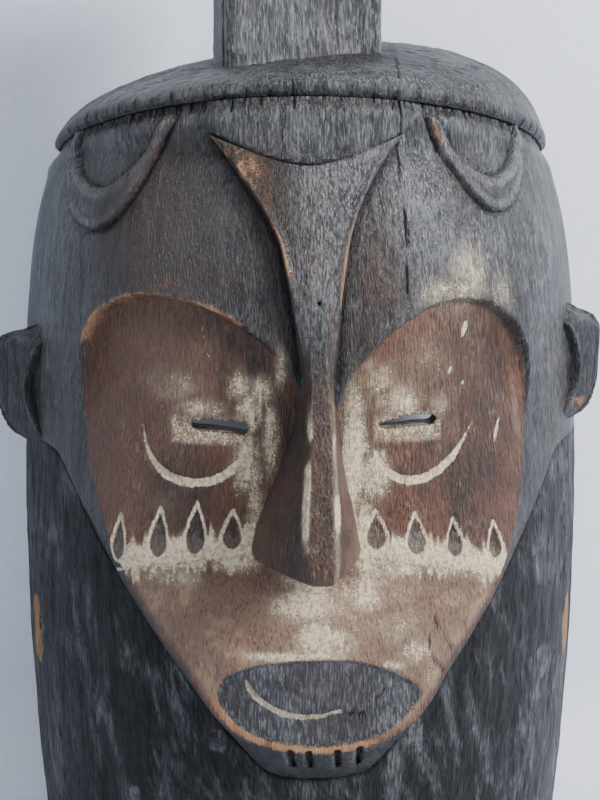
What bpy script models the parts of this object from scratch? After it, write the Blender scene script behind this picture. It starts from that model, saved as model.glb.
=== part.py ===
"""Carved wooden mask with a block crest, built from separately carved and pegged pieces.

Metres, +Z up. X is the left-right line of the mask, the face looks along -Y, the open
hollow faces +Y, and the foot rim stands on Z = 0. Angles run round the trunk's axis,
from 0 at the middle of the face to positive on the +X side.
"""

import math

import bmesh
import bpy
from mathutils import Matrix, Vector

# The log that the mask is carved from
GIRTH_RADIUS = 0.1085        # outside radius before any taper
FOOT_TAPER = 0.0075          # loss of radius from the waist down to the foot
WAIST_Z = 0.1500             # where the foot's taper starts
HEAD_TAPER = 0.0060          # steady loss of radius from the foot to the brim
CROWN_ROUNDING = 0.0113      # further loss of radius close under the brim
ROUNDING_POWER = 10          # how late that last rounding sets in
WALL = 0.0135                # thickness of the hollowed wall
CROWN_WALL = 0.0185          # thickness of the crown at its middle
BACK_DEPTH = 0.0200          # the open back lies this far behind the trunk's axis

# Levels
CHIN_Z = 0.0660              # underside of the chin, where the head meets the trunk
NECK_Z = 0.1700              # level part of the head's joint, under and behind the ears
BRIM_Z = 0.2710              # brim of the crown at the sides
BRIM_ARCH = 0.0170           # how much higher the brim stands over the forehead
CROWN_TOP_Z = 0.3095
CREST_SEAT_Z = 0.2965        # floor of the crest's pocket in the crown
CREST_TOP_Z = 0.3780

# The jaw line, which the joint between head and trunk follows
CHIN_HALF_ANGLE = math.radians(9.2)
JAW_END_ANGLE = math.radians(55.0)
JAW_ROUNDING = 0.0060
BRIM_ARCH_ANGLE = math.radians(80.0)

# The face
CHIN_PROUD = 0.0140          # how far the muzzle stands proud of the log
LOBE_DEPTH = 0.0045          # how far the eye lobes are sunk below the forehead
JAW_WALL = 0.0150            # height of the sloping wall under the jaw
MUZZLE_FULL_Z = 0.1110       # the muzzle stands fully proud up to here
MUZZLE_TOP_Z = 0.1500        # and has died away up here
LOBE_TOP_Z = 0.2260
FACE_HALF_ANGLE = math.radians(38.0)
FACE_EDGE_ANGLE = math.radians(49.0)
FACE_TURN = math.radians(1.3)  # the face is set slightly round to +X
EYE_ANGLE = math.radians(17.3)
EYE_TURN = math.radians(0.6)  # the eyes are set less far round than the face
EYE_Z = 0.1830
EYE_WIDTH = 0.0180
EYE_HEIGHT = 0.0052
EYE_CHAMFER = 0.0015

# The nose with its long forehead shield
NOSE_TIP_Z = 0.1412
WING_HEIGHT = 0.0030         # the nose is widest this far above its tip
BRIDGE_Z = 0.2060            # the nose is narrowest here and the shield begins
SHIELD_TOP_Z = 0.2720
NOSE_LENGTH = 0.0284         # the tip stands this far proud of the log
TIP_HALF_WIDTH = 0.0120
NOSE_HALF_WIDTH = 0.0160
BRIDGE_HALF_WIDTH = 0.0048
SHIELD_HALF_WIDTH = 0.0305
SHIELD_FLARE = 1.8           # how late the shield widens towards its top
SHIELD_PROUD = 0.0024
NOSE_FLANK = 0.8             # below 1 the nose's flanks bulge, above 1 they are hollow
NOSE_SEAT = 0.0060           # depth of the nose's seat below the log's surface

# Ears
EAR_ANGLE = math.radians(61.0)
EAR_SWEEP = math.radians(39.0)  # how far the ears sweep back from square
EAR_HEIGHT = 0.0430
EAR_REACH = 0.0255
EAR_REACH_STEP = -0.0020     # +X ear reaches this much less, the other this much more
EAR_THICK = 0.0120
EAR_ROOT = 0.0156            # how far an ear's slab runs into the log before it is scribed
EAR_CORNER_REACH = 0.0130    # the rounded lower corner
EAR_CORNER_HEIGHT = 0.0180
EAR_TOP_REACH = 0.0040       # level part of the ear's top edge
EAR_SLOPE_REACH = 0.0225     # outer end of its sloping part
EAR_SLOPE_DROP = 0.0069
EAR_OUTER_DROP = 0.0112      # the straight outer edge starts this far below the top
EAR_Z = 0.1935
EAR_LEVEL_STEP = 0.0035      # +X ear is set this much higher, the other this much lower
EAR_TENON_HEIGHT = 0.0180
EAR_TENON_THICK = 0.0070
EAR_TENON_PAST = 0.0110      # length of the ear's tenon inside the hollow
EAR_TENON_COVER = 0.0010     # wood left in front of the tenon in the ear

# The crest block
CREST_WIDTH = 0.0535
CREST_DEPTH = 0.0500
CREST_Y = -0.0370
CREST_X = -0.0032
CREST_TURN = math.radians(6.5)
CREST_CHAMFER = 0.0020
CREST_TENON_WIDTH = 0.0240
CREST_TENON_DEPTH = 0.0180
CREST_TENON_PAST = 0.0160    # length of the crest's tenon below the crown's wall
CREST_PIN_DROP = 0.0020      # room between the crown's underside and the lock pin

# Crown
BRIM_OVERHANG = 0.0003
CROWN_FULLNESS = 2.4
CROWN_LEAN = 0.0085          # the dome stands higher on +X and lower on -X by up to this
ARCH_FADE = 8                # how fast the brim's arch dies away towards the middle

# Side holes that the costume is tied to
TIE_HOLE_Z = 0.0965
TIE_HOLE_Y = -0.0400
TIE_HOLE_WIDTH = 0.0085
TIE_HOLE_HEIGHT = 0.0120
TIE_FLARE = 2.1              # the worn mouth of a hole against the hole itself
TIE_FLARE_DEPTH = 0.0030

# Pegs and fits
NECK_PEG_ANGLE = math.radians(74.0)
CROWN_PEG_ANGLE = math.radians(79.0)
NOSE_PEG_LOW_Z = 0.1600
NOSE_PEG_HIGH_Z = 0.2440
PEG_RADIUS = 0.0030
PEG_DEPTH = 0.0110           # how far a peg reaches into each piece that it joins
NOSE_PEG_RADIUS = 0.0026
NOSE_PEG_DEPTH = 0.0055
PIN_RADIUS = 0.0024
PIN_OVERLAP = 0.0050         # how far a lock pin stands out on each side of its tenon
GAP = 0.0003                 # clearance between pieces that touch
PEG_SIDES = 12

# Fineness of the carved surfaces
COLUMNS = 90                 # facets in a full turn
BACK_COLUMNS = 27            # facets from the middle of the face to past the open back
HEAD_ROWS = 22
TRUNK_ROWS = 8
CROWN_RINGS = 6
SHARP_EDGE = math.radians(35.0)


def clear_scene():
    """Removes whatever the open file holds."""
    for item in list(bpy.data.objects):
        bpy.data.objects.remove(item, do_unlink=True)


def paint(name, colour, roughness):
    """A Principled material of one colour."""
    material = bpy.data.materials.new(name)
    material.use_nodes = True
    shader = material.node_tree.nodes["Principled BSDF"]
    shader.inputs["Base Color"].default_value = (*colour, 1.0)
    shader.inputs["Roughness"].default_value = roughness
    shader.inputs["Metallic"].default_value = 0.0
    material.diffuse_color = (*colour, 1.0)
    return material


def ease(value, low, high):
    """0 below low, 1 above high, and a smooth rise between them."""
    t = min(1.0, max(0.0, (value - low) / (high - low)))
    return t * t * (3.0 - 2.0 * t)


def smooth_max(a, b, rounding):
    """The larger of two levels, with the corner between them rounded off."""
    return 0.5 * (a + b + math.hypot(a - b, rounding))


def log_radius(z):
    """Outside radius of the log at a height."""
    t = max(0.0, z) / BRIM_Z
    below_waist = max(0.0, 1.0 - max(0.0, z) / WAIST_Z)
    radius = GIRTH_RADIUS - FOOT_TAPER * below_waist**2
    return radius - HEAD_TAPER * t**2 - CROWN_ROUNDING * min(t, 1.0) ** ROUNDING_POWER


def hollow_radius(z):
    """Inside radius of the hollow at a height."""
    return log_radius(z) - WALL


def jaw_line(angle):
    """Height of the joint between head and trunk, which follows the jaw."""
    slope = (NECK_Z - CHIN_Z) / (JAW_END_ANGLE - CHIN_HALF_ANGLE)
    rising = CHIN_Z + slope * (abs(angle - FACE_TURN) - CHIN_HALF_ANGLE)
    low = smooth_max(CHIN_Z, rising, JAW_ROUNDING)
    return -smooth_max(-NECK_Z, -low, JAW_ROUNDING)


def brim_line(angle):
    """Height of the joint between head and crown, arched over the forehead."""
    return BRIM_Z + BRIM_ARCH * max(0.0, math.cos(angle * math.pi / 2.0 / BRIM_ARCH_ANGLE))


def face_proud(angle, z):
    """How far the carved face stands proud of the log, or below it in the eye lobes."""
    turned = abs(angle - FACE_TURN)
    muzzle = CHIN_PROUD * (1.0 - ease(z, MUZZLE_FULL_Z, MUZZLE_TOP_Z))
    lobes = ease(z, MUZZLE_TOP_Z, EYE_Z) * (1.0 - ease(z, LOBE_TOP_Z - JAW_WALL, LOBE_TOP_Z))
    wall = ease(z - jaw_line(angle), 0.0, JAW_WALL)
    side = 1.0 - ease(turned, FACE_HALF_ANGLE, FACE_EDGE_ANGLE)
    return (muzzle * wall - LOBE_DEPTH * lobes) * side


def at(radius, angle, z):
    """A point at a radius and angle round the trunk's axis."""
    return Vector((radius * math.sin(angle), -radius * math.cos(angle), z))


def facet_angle(column):
    """The angle of a column of points, counted from the middle of the face."""
    return 2.0 * math.pi * column / COLUMNS


def new_object(name, mesh, material=None, parent=None):
    """Links a new object, with its material and parent."""
    piece = bpy.data.objects.new(name, mesh)
    bpy.context.scene.collection.objects.link(piece)
    if material is not None:
        piece.data.materials.append(material)
    if parent is not None:
        piece.parent = parent
    return piece


def finish_mesh(bm, name):
    """Turns a bmesh into a mesh with its faces pointing out."""
    bmesh.ops.recalc_face_normals(bm, faces=bm.faces)
    mesh = bpy.data.meshes.new(name)
    bm.to_mesh(mesh)
    bm.free()
    mesh.shade_smooth()
    mesh.set_sharp_from_angle(angle=SHARP_EDGE)
    return mesh


def sheet_mesh(name, outer, inner):
    """Closes the space between two grids of points that have the same rows and columns."""
    bm = bmesh.new()
    grids = [[[bm.verts.new(p) for p in row] for row in grid] for grid in (outer, inner)]
    rows, columns = len(outer), len(outer[0])
    for grid in grids:
        for r in range(rows - 1):
            for c in range(columns - 1):
                corners = (grid[r][c], grid[r][c + 1], grid[r + 1][c + 1], grid[r + 1][c])
                bm.faces.new(corners)
    front, back = grids
    for c in range(columns - 1):
        for r in (0, rows - 1):
            bm.faces.new((front[r][c], front[r][c + 1], back[r][c + 1], back[r][c]))
    for r in range(rows - 1):
        for c in (0, columns - 1):
            bm.faces.new((front[r][c], front[r + 1][c], back[r + 1][c], back[r][c]))
    return finish_mesh(bm, name)


def wall_mesh(name, low_line, high_line, rows, relief):
    """A C-shaped wall between two lines that run round the log, open at the back."""
    outer, inner = [], []
    for r in range(rows + 1):
        share = r / rows
        outer_row, inner_row = [], []
        for c in range(-BACK_COLUMNS, BACK_COLUMNS + 1):
            angle = facet_angle(c)
            z = low_line(angle) + share * (high_line(angle) - low_line(angle))
            outer_row.append(at(log_radius(z) + relief(angle, z), angle, z))
            inner_row.append(at(hollow_radius(z), angle, z))
        outer.append(outer_row)
        inner.append(inner_row)
    return sheet_mesh(name, outer, inner)


def peg_mesh(name, radius, length, centred=False):
    """A round peg along +Z, standing on its own origin or centred on it."""
    bm = bmesh.new()
    bmesh.ops.create_cone(
        bm,
        cap_ends=True,
        segments=PEG_SIDES,
        radius1=radius,
        radius2=radius,
        depth=length,
    )
    if not centred:
        bmesh.ops.translate(bm, verts=bm.verts, vec=(0.0, 0.0, length / 2.0))
    return finish_mesh(bm, name)


def box_mesh(name, size, centre=(0.0, 0.0, 0.0), chamfer=0.0):
    """A box of a size about a centre, with its edges chamfered."""
    bm = bmesh.new()
    bmesh.ops.create_cube(bm, size=1.0)
    bmesh.ops.scale(bm, verts=bm.verts, vec=size)
    if chamfer > 0.0:
        bmesh.ops.bevel(bm, geom=bm.edges[:], offset=chamfer, segments=1, affect="EDGES")
    bmesh.ops.translate(bm, verts=bm.verts, vec=centre)
    return finish_mesh(bm, name)


def cutter(name, mesh, parent=None):
    """A guide that only cuts other pieces."""
    tool = new_object(name, mesh, parent=parent)
    tool.hide_render = True
    tool.display_type = "WIRE"
    return tool


def boolean(piece, tool, operation="DIFFERENCE"):
    """Cuts a piece with a tool, or joins or crosses the two."""
    modifier = piece.modifiers.new(tool.name, "BOOLEAN")
    modifier.operation = operation
    modifier.solver = "EXACT"
    modifier.object = tool
    return modifier


def no_relief(angle, z):
    """The plain surface of the log."""
    return 0.0


def make_trunk(root, wood):
    """The plain lower trunk, whose top edge follows the jaw."""
    mesh = wall_mesh(
        "trunk_shell",
        lambda angle: 0.0,
        lambda angle: jaw_line(angle) - GAP / 2.0,
        TRUNK_ROWS,
        no_relief,
    )
    trunk = new_object("trunk_shell", mesh, wood, root)
    for side, label in ((-1, "left"), (1, "right")):
        cut_tie_hole(trunk, root, side, label)
    return trunk


def cut_tie_hole(trunk, root, side, label):
    """An oval hole through the side wall with a worn, flared mouth."""
    surface = math.sqrt(log_radius(TIE_HOLE_Z) ** 2 - TIE_HOLE_Y**2)
    place = Matrix.Translation((side * surface, TIE_HOLE_Y, TIE_HOLE_Z))
    lie = place @ Matrix.Rotation(side * math.pi / 2.0, 4, "Y")
    oval = Matrix.Diagonal((TIE_HOLE_HEIGHT / 2.0, TIE_HOLE_WIDTH / 2.0, 1.0, 1.0))
    bore = bmesh.new()
    bmesh.ops.create_cone(
        bore,
        cap_ends=True,
        segments=16,
        radius1=1.0,
        radius2=1.0,
        depth=4.0 * WALL,
        matrix=oval,
    )
    tool = cutter(f"tie_bore_{label}", finish_mesh(bore, "tie_bore"), root)
    tool.matrix_local = lie
    boolean(trunk, tool)
    mouth = bmesh.new()
    bmesh.ops.create_cone(
        mouth,
        cap_ends=True,
        segments=16,
        radius1=1.0,
        radius2=2.0 * TIE_FLARE - 1.0,
        depth=2.0 * TIE_FLARE_DEPTH,
        matrix=oval,
    )
    flare = cutter(f"tie_mouth_{label}", finish_mesh(mouth, "tie_mouth"), root)
    flare.matrix_local = lie
    boolean(trunk, flare)


def make_head(root, wood):
    """The head wall with the face carved on its front."""
    mesh = wall_mesh(
        "head_shell",
        lambda angle: jaw_line(angle) + GAP / 2.0,
        lambda angle: brim_line(angle) - GAP / 2.0,
        HEAD_ROWS,
        face_proud,
    )
    head = new_object("head_shell", mesh, wood, root)
    size = (EYE_WIDTH, 4.0 * WALL, EYE_HEIGHT)
    for side, label in ((-1, "left"), (1, "right")):
        slit = cutter(f"eye_slit_{label}", box_mesh("eye_slit", size, chamfer=EYE_CHAMFER), root)
        slit.location = at(log_radius(EYE_Z), side * EYE_ANGLE + EYE_TURN, EYE_Z)
        boolean(head, slit)
    return head


def nose_half_width(z):
    """Half the width of the nose and its shield at a height."""
    if z < NOSE_TIP_Z + WING_HEIGHT:
        rise = math.sqrt(max(0.0, (z - NOSE_TIP_Z) / WING_HEIGHT))
        return TIP_HALF_WIDTH + (NOSE_HALF_WIDTH - TIP_HALF_WIDTH) * rise
    if z < BRIDGE_Z:
        share = ease(z, NOSE_TIP_Z + WING_HEIGHT, BRIDGE_Z)
        return NOSE_HALF_WIDTH + share * (BRIDGE_HALF_WIDTH - NOSE_HALF_WIDTH)
    share = (z - BRIDGE_Z) / (SHIELD_TOP_Z - BRIDGE_Z)
    return BRIDGE_HALF_WIDTH + (SHIELD_HALF_WIDTH - BRIDGE_HALF_WIDTH) * share**SHIELD_FLARE


def nose_ridge_proud(z):
    """How far the nose's ridge stands proud of the log at a height."""
    rise = 1.0 - ease(z, NOSE_TIP_Z, BRIDGE_Z)
    return SHIELD_PROUD + (NOSE_LENGTH - SHIELD_PROUD) * rise


def nose_mesh(name, grow):
    """The nose and shield as a closed wedge, grown on its sides and back."""
    rows, columns = 22, 6
    outer, inner = [], []
    low, high = NOSE_TIP_Z - grow, SHIELD_TOP_Z + grow
    for r in range(rows + 1):
        z = low + (high - low) * r / rows
        shape_z = min(SHIELD_TOP_Z, max(NOSE_TIP_Z, z))
        half = nose_half_width(shape_z) + grow
        ridge = nose_ridge_proud(shape_z)
        outer_row, inner_row = [], []
        for c in range(columns + 1):
            across = 2.0 * c / columns - 1.0
            angle = across * half / log_radius(z) + FACE_TURN
            slope = SHIELD_PROUD + (ridge - SHIELD_PROUD) * (1.0 - abs(across)) ** NOSE_FLANK
            outer_row.append(at(log_radius(z) + slope + grow, angle, z))
            inner_row.append(at(log_radius(z) - NOSE_SEAT - grow, angle, z))
        outer.append(outer_row)
        inner.append(inner_row)
    return sheet_mesh(name, outer, inner)


def depth_offset():
    """How far the trunk's axis lies behind the middle of the mask's depth."""
    tip = log_radius(NOSE_TIP_Z) + nose_ridge_proud(NOSE_TIP_Z)
    return (tip * math.cos(FACE_TURN) - BACK_DEPTH) / 2.0


def make_nose(root, head, wood):
    """The long nose with its forehead shield, let into the head wall."""
    nose = new_object("nose_and_shield", nose_mesh("nose_and_shield", 0.0), wood, root)
    seat = cutter("nose_seat", nose_mesh("nose_seat", GAP), root)
    boolean(head, seat)
    return nose


def add_pegs(name, places, radius, depth_low, depth_high, wood, root, joined):
    """Pegs that stand along their own +Z at each joint, with bores in both pieces."""
    for index, (place, direction) in enumerate(places, start=1):
        turn = direction.to_track_quat("Z", "Y").to_matrix().to_4x4()
        peg = new_object(
            f"{name}_{index}",
            peg_mesh(name, radius, depth_low + depth_high - 2.0 * GAP),
            wood,
            root,
        )
        start = place - direction * (depth_low - GAP)
        peg.matrix_local = Matrix.Translation(start) @ turn
        bore = cutter(
            f"{name}_bore_{index}",
            peg_mesh(f"{name}_bore", radius + GAP, depth_low + depth_high),
            root,
        )
        bore.matrix_local = Matrix.Translation(place - direction * depth_low) @ turn
        for piece in joined:
            boolean(piece, bore)


def neck_peg_places():
    """Where the pegs between trunk and head stand: at the chin and behind the ears."""
    places = []
    for angle in (-NECK_PEG_ANGLE, 0.0, NECK_PEG_ANGLE):
        z = jaw_line(angle)
        places.append((at(log_radius(z) - WALL / 2.0, angle, z), Vector((0.0, 0.0, 1.0))))
    return places


def crown_peg_places():
    """Where the pegs between head and crown stand."""
    places = []
    for angle in (-CROWN_PEG_ANGLE, 0.0, CROWN_PEG_ANGLE):
        z = brim_line(angle)
        places.append((at(log_radius(z) - WALL / 2.0, angle, z), Vector((0.0, 0.0, 1.0))))
    return places


def nose_peg_places():
    """Where the pegs that hold the nose pass through the head wall from inside."""
    places = []
    for z in (NOSE_PEG_LOW_Z, NOSE_PEG_HIGH_Z):
        outward = at(1.0, FACE_TURN, 0.0)
        places.append((at(log_radius(z) - NOSE_SEAT, FACE_TURN, z), outward))
    return places


def dome_height(radius, angle, rim_radius, top_z, lean):
    """Height of a dome at a distance and an angle from the axis."""
    reach = min(1.0, radius / rim_radius)
    swell = math.sqrt(max(0.0, 1.0 - reach**CROWN_FULLNESS))
    arch = (brim_line(angle) - BRIM_Z) * reach**ARCH_FADE
    return BRIM_Z + (top_z - BRIM_Z) * swell + arch + lean * reach * math.sin(angle) * swell


def dome_rings(rim_radius, top_z, lean):
    """Rings of points from a dome's rim up to near its top."""
    rings = []
    for r in range(CROWN_RINGS):
        radius = rim_radius * math.cos(math.pi / 2.0 * r / CROWN_RINGS)
        ring = []
        for c in range(COLUMNS):
            angle = facet_angle(c - COLUMNS // 2)
            z = dome_height(radius, angle, rim_radius, top_z, lean) + GAP / 2.0
            ring.append(at(radius, angle, z))
        rings.append(ring)
    return rings


def crown_mesh():
    """A hollow dome whose rim follows the arched brim."""
    rim = log_radius(BRIM_Z)
    outer = dome_rings(rim + BRIM_OVERHANG, CROWN_TOP_Z, CROWN_LEAN)
    inner = dome_rings(rim - WALL, CROWN_TOP_Z - CROWN_WALL, 0.0)
    bm = bmesh.new()
    shells = [[[bm.verts.new(p) for p in ring] for ring in rings] for rings in (outer, inner)]
    for rings, top_z in zip(shells, (CROWN_TOP_Z, CROWN_TOP_Z - CROWN_WALL)):
        top = bm.verts.new((0.0, 0.0, top_z))
        for c in range(COLUMNS):
            after = (c + 1) % COLUMNS
            for low, high in zip(rings, rings[1:]):
                bm.faces.new((low[c], low[after], high[after], high[c]))
            bm.faces.new((rings[-1][c], rings[-1][after], top))
    for c in range(COLUMNS):
        after = (c + 1) % COLUMNS
        bm.faces.new((shells[0][0][c], shells[0][0][after], shells[1][0][after], shells[1][0][c]))
    return finish_mesh(bm, "crown_cap")


def make_crown(root, wood):
    """The domed crown, hollow like the rest."""
    return new_object("crown_cap", crown_mesh(), wood, root)


def saw_back(root, pieces):
    """Saws every wall off level at the open back."""
    reach = 2.0 * (CREST_TOP_Z + GIRTH_RADIUS)
    saw = cutter("back_saw", box_mesh("back_saw", (reach, reach, reach)), root)
    saw.location = (0.0, BACK_DEPTH + reach / 2.0, CREST_TOP_Z / 2.0)
    for piece in pieces:
        boolean(piece, saw)


def crest_ceiling():
    """Height of the crown's underside below the crest's middle."""
    rim = log_radius(BRIM_Z) - WALL
    return dome_height(abs(CREST_Y), 0.0, rim, CROWN_TOP_Z - CROWN_WALL, 0.0)


def crest_parts(name, grow, root):
    """The crest's block and its tenon, as two guides on one turned empty."""
    height = CREST_TOP_Z - CREST_SEAT_Z + grow
    block = box_mesh(
        name,
        (CREST_WIDTH + 2.0 * grow, CREST_DEPTH + 2.0 * grow, height),
        (0.0, 0.0, height / 2.0 - grow),
        chamfer=0.0 if grow else CREST_CHAMFER,
    )
    drop = CREST_SEAT_Z - crest_ceiling() + CREST_TENON_PAST
    tenon = box_mesh(
        f"{name}_tenon",
        (CREST_TENON_WIDTH + 2.0 * grow, CREST_TENON_DEPTH + 2.0 * grow, drop + WALL),
        (0.0, 0.0, (WALL - drop) / 2.0),
    )
    return block, cutter(f"{name}_tenon", tenon, root)


def make_crest(root, crown, wood, peg_wood):
    """The crest block, tenoned through the crown and locked below with a pin."""
    mount = bpy.data.objects.new("crest_mount", None)
    bpy.context.scene.collection.objects.link(mount)
    mount.parent = root
    mount.location = (CREST_X, CREST_Y, CREST_SEAT_Z)
    mount.rotation_euler = (0.0, 0.0, CREST_TURN)

    block, tenon = crest_parts("crest_block", 0.0, mount)
    crest = new_object("crest_block", block, wood, mount)
    boolean(crest, tenon, "UNION")
    pocket, mortise = crest_parts("crest_pocket", GAP, mount)
    boolean(crown, cutter("crest_pocket", pocket, mount))
    boolean(crown, mortise)

    pin_length = CREST_TENON_WIDTH + 2.0 * PIN_OVERLAP
    pin_z = crest_ceiling() - CREST_SEAT_Z - PIN_RADIUS - CREST_PIN_DROP
    lie = Matrix.Translation((0.0, 0.0, pin_z)) @ Matrix.Rotation(math.pi / 2.0, 4, "Y")
    pin = new_object("crest_pin", peg_mesh("crest_pin", PIN_RADIUS, pin_length, True), peg_wood, mount)
    pin.matrix_local = lie
    bore = cutter(
        "crest_pin_bore",
        peg_mesh("crest_pin_bore", PIN_RADIUS + GAP, 2.0 * pin_length, True),
        mount,
    )
    bore.matrix_local = lie
    boolean(crest, bore)


def ear_outline(reach):
    """The ear's outline in its own plane: along X outwards and along Z up."""
    half = EAR_HEIGHT / 2.0
    points = [(-EAR_ROOT, -half)]
    steps = 6
    for step in range(steps + 1):
        turn = math.pi / 2.0 * step / steps
        x = reach - EAR_CORNER_REACH * (1.0 - math.sin(turn))
        z = -half + EAR_CORNER_HEIGHT * (1.0 - math.cos(turn))
        points.append((x, z))
    points += [
        (reach, half - EAR_OUTER_DROP),
        (reach - EAR_REACH + EAR_SLOPE_REACH, half - EAR_SLOPE_DROP),
        (EAR_TOP_REACH, half),
        (-EAR_ROOT, half),
    ]
    return points


def ear_mesh(side):
    """The ear's slab, extruded from its outline, on either side of the head."""
    bm = bmesh.new()
    outline = ear_outline(EAR_REACH + side * EAR_REACH_STEP)
    front = [bm.verts.new((side * x, 0.0, z)) for x, z in outline]
    face = bm.faces.new(front)
    grown = bmesh.ops.extrude_face_region(bm, geom=[face])
    moved = [item for item in grown["geom"] if isinstance(item, bmesh.types.BMVert)]
    bmesh.ops.translate(bm, verts=moved, vec=(0.0, EAR_THICK, 0.0))
    return finish_mesh(bm, "ear")


def side_core(name, root):
    """The log's outside with its clearance, which the ears are scribed to."""
    low, high = NECK_Z - EAR_HEIGHT, NECK_Z + 2.0 * EAR_HEIGHT
    rings = 8
    bm = bmesh.new()
    levels = []
    for r in range(rings + 1):
        z = low + (high - low) * r / rings
        ring = []
        for c in range(COLUMNS):
            ring.append(bm.verts.new(at(log_radius(z) + GAP, facet_angle(c), z)))
        levels.append(ring)
    for lower, upper in zip(levels, levels[1:]):
        for c in range(COLUMNS):
            after = (c + 1) % COLUMNS
            bm.faces.new((lower[c], lower[after], upper[after], upper[c]))
    bm.faces.new(levels[0])
    bm.faces.new(levels[-1])
    return cutter(name, finish_mesh(bm, name), root)


def ear_footprint(z):
    """Where an ear's tenon leaves the head, and the radius at which it ends in the ear."""
    wall = log_radius(z)
    front = wall * math.cos(EAR_ANGLE - EAR_SWEEP)
    back_angle = EAR_SWEEP + math.acos((front - EAR_THICK) / wall)
    middle = (EAR_ANGLE + back_angle) / 2.0
    near_edge = middle - EAR_SWEEP - EAR_TENON_THICK / 2.0 / wall
    return middle, front / math.cos(near_edge) - EAR_TENON_COVER


def ear_tenon_mesh(length, grow):
    """The ear's tenon, which runs in through the head wall along its own X."""
    size = (length, EAR_TENON_THICK + 2.0 * grow, EAR_TENON_HEIGHT + 2.0 * grow)
    return box_mesh("ear_tenon", size)


def make_ear(root, head, core, side, label, wood, peg_wood):
    """One ear, scribed to the head, tenoned through its wall and pinned inside."""
    z = EAR_Z + side * EAR_LEVEL_STEP
    mount = bpy.data.objects.new(f"ear_mount_{label}", None)
    bpy.context.scene.collection.objects.link(mount)
    mount.parent = root
    mount.location = at(log_radius(z), side * EAR_ANGLE, z)
    mount.rotation_euler = (0.0, 0.0, side * EAR_SWEEP)
    ear = new_object(f"ear_{label}", ear_mesh(side), wood, mount)
    boolean(ear, core)

    angle, outer_end = ear_footprint(z)
    angle *= side
    inner_end = hollow_radius(z) - EAR_TENON_PAST
    lie = Matrix.Rotation(angle - math.pi / 2.0, 4, "Z")
    place = Matrix.Translation(at((outer_end + inner_end) / 2.0, angle, z)) @ lie
    length = outer_end - inner_end
    tenon = cutter(f"ear_tenon_{label}", ear_tenon_mesh(length, 0.0), root)
    tenon.matrix_local = place
    boolean(ear, tenon, "UNION")
    mortise = cutter(f"ear_mortise_{label}", ear_tenon_mesh(length, GAP), root)
    mortise.matrix_local = place
    boolean(head, mortise)

    pin_length = EAR_TENON_HEIGHT + 2.0 * PIN_OVERLAP
    pin_radius = hollow_radius(z + pin_length / 2.0) - PIN_RADIUS - 2.0 * GAP
    stand = Matrix.Translation(at(pin_radius, angle, z))
    pin = new_object(
        f"ear_pin_{label}",
        peg_mesh("ear_pin", PIN_RADIUS, pin_length, True),
        peg_wood,
        root,
    )
    pin.matrix_local = stand
    bore = cutter(
        f"ear_pin_bore_{label}",
        peg_mesh("ear_pin_bore", PIN_RADIUS + GAP, 2.0 * pin_length, True),
        root,
    )
    bore.matrix_local = stand
    boolean(ear, bore)


def main():
    """Builds the whole mask on one empty."""
    clear_scene()
    dark = paint("blackened wood", (0.035, 0.037, 0.045), 0.55)
    brown = paint("red-brown face wood", (0.110, 0.045, 0.030), 0.50)
    raw = paint("raw peg wood", (0.300, 0.170, 0.080), 0.70)

    root = bpy.data.objects.new("mask", None)
    bpy.context.scene.collection.objects.link(root)
    root.location = (0.0, depth_offset(), 0.0)

    trunk = make_trunk(root, dark)
    head = make_head(root, brown)
    crown = make_crown(root, dark)
    saw_back(root, (trunk, head, crown))
    nose = make_nose(root, head, brown)
    core = side_core("ear_scribe", root)
    for side, label in ((-1, "left"), (1, "right")):
        make_ear(root, head, core, side, label, dark, raw)
    make_crest(root, crown, dark, raw)

    add_pegs("neck_peg", neck_peg_places(), PEG_RADIUS, PEG_DEPTH, PEG_DEPTH, raw, root,
             (trunk, head))
    add_pegs("crown_peg", crown_peg_places(), PEG_RADIUS, PEG_DEPTH, PEG_DEPTH / 2.0, raw,
             root, (head, crown))
    add_pegs("nose_peg", nose_peg_places(), NOSE_PEG_RADIUS, WALL, NOSE_PEG_DEPTH, raw,
             root, (head, nose))


main()
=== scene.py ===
"""Carved wooden mask: the fine carved surfaces, their finishes and the studio they stand in.

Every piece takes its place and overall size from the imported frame. Relief is worked out
in millimetres on the unrolled surface of the log: degrees round the trunk's axis (0 at the
middle of the front, positive to the viewer's right) and height above the foot.
"""

import math

import bmesh
import bpy
import numpy as np
from mathutils import Matrix, Vector


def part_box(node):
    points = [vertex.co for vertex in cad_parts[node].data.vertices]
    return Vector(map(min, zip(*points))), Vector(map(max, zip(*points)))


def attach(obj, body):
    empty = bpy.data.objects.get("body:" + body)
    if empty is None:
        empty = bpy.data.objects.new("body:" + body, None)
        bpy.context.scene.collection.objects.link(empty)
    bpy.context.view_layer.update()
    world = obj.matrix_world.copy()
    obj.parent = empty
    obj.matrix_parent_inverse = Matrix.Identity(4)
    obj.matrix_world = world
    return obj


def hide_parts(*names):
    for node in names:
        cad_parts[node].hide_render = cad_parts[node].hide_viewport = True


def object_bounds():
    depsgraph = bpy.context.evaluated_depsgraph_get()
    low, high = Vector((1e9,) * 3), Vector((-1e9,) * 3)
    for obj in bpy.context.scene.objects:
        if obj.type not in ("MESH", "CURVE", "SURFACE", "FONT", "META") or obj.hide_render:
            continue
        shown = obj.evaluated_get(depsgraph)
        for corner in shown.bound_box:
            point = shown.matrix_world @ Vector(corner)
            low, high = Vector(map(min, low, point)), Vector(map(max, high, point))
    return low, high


bl_info = {
    "name": "Carved Wooden Mask",
    "version": (1, 0, 0),
    "blender": (4, 5, 0),
    "location": "View3D > Sidebar > Mask",
    "description": "Carves and finishes a pegged wooden mask on its packed frame",
    "category": "Object",
}

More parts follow.
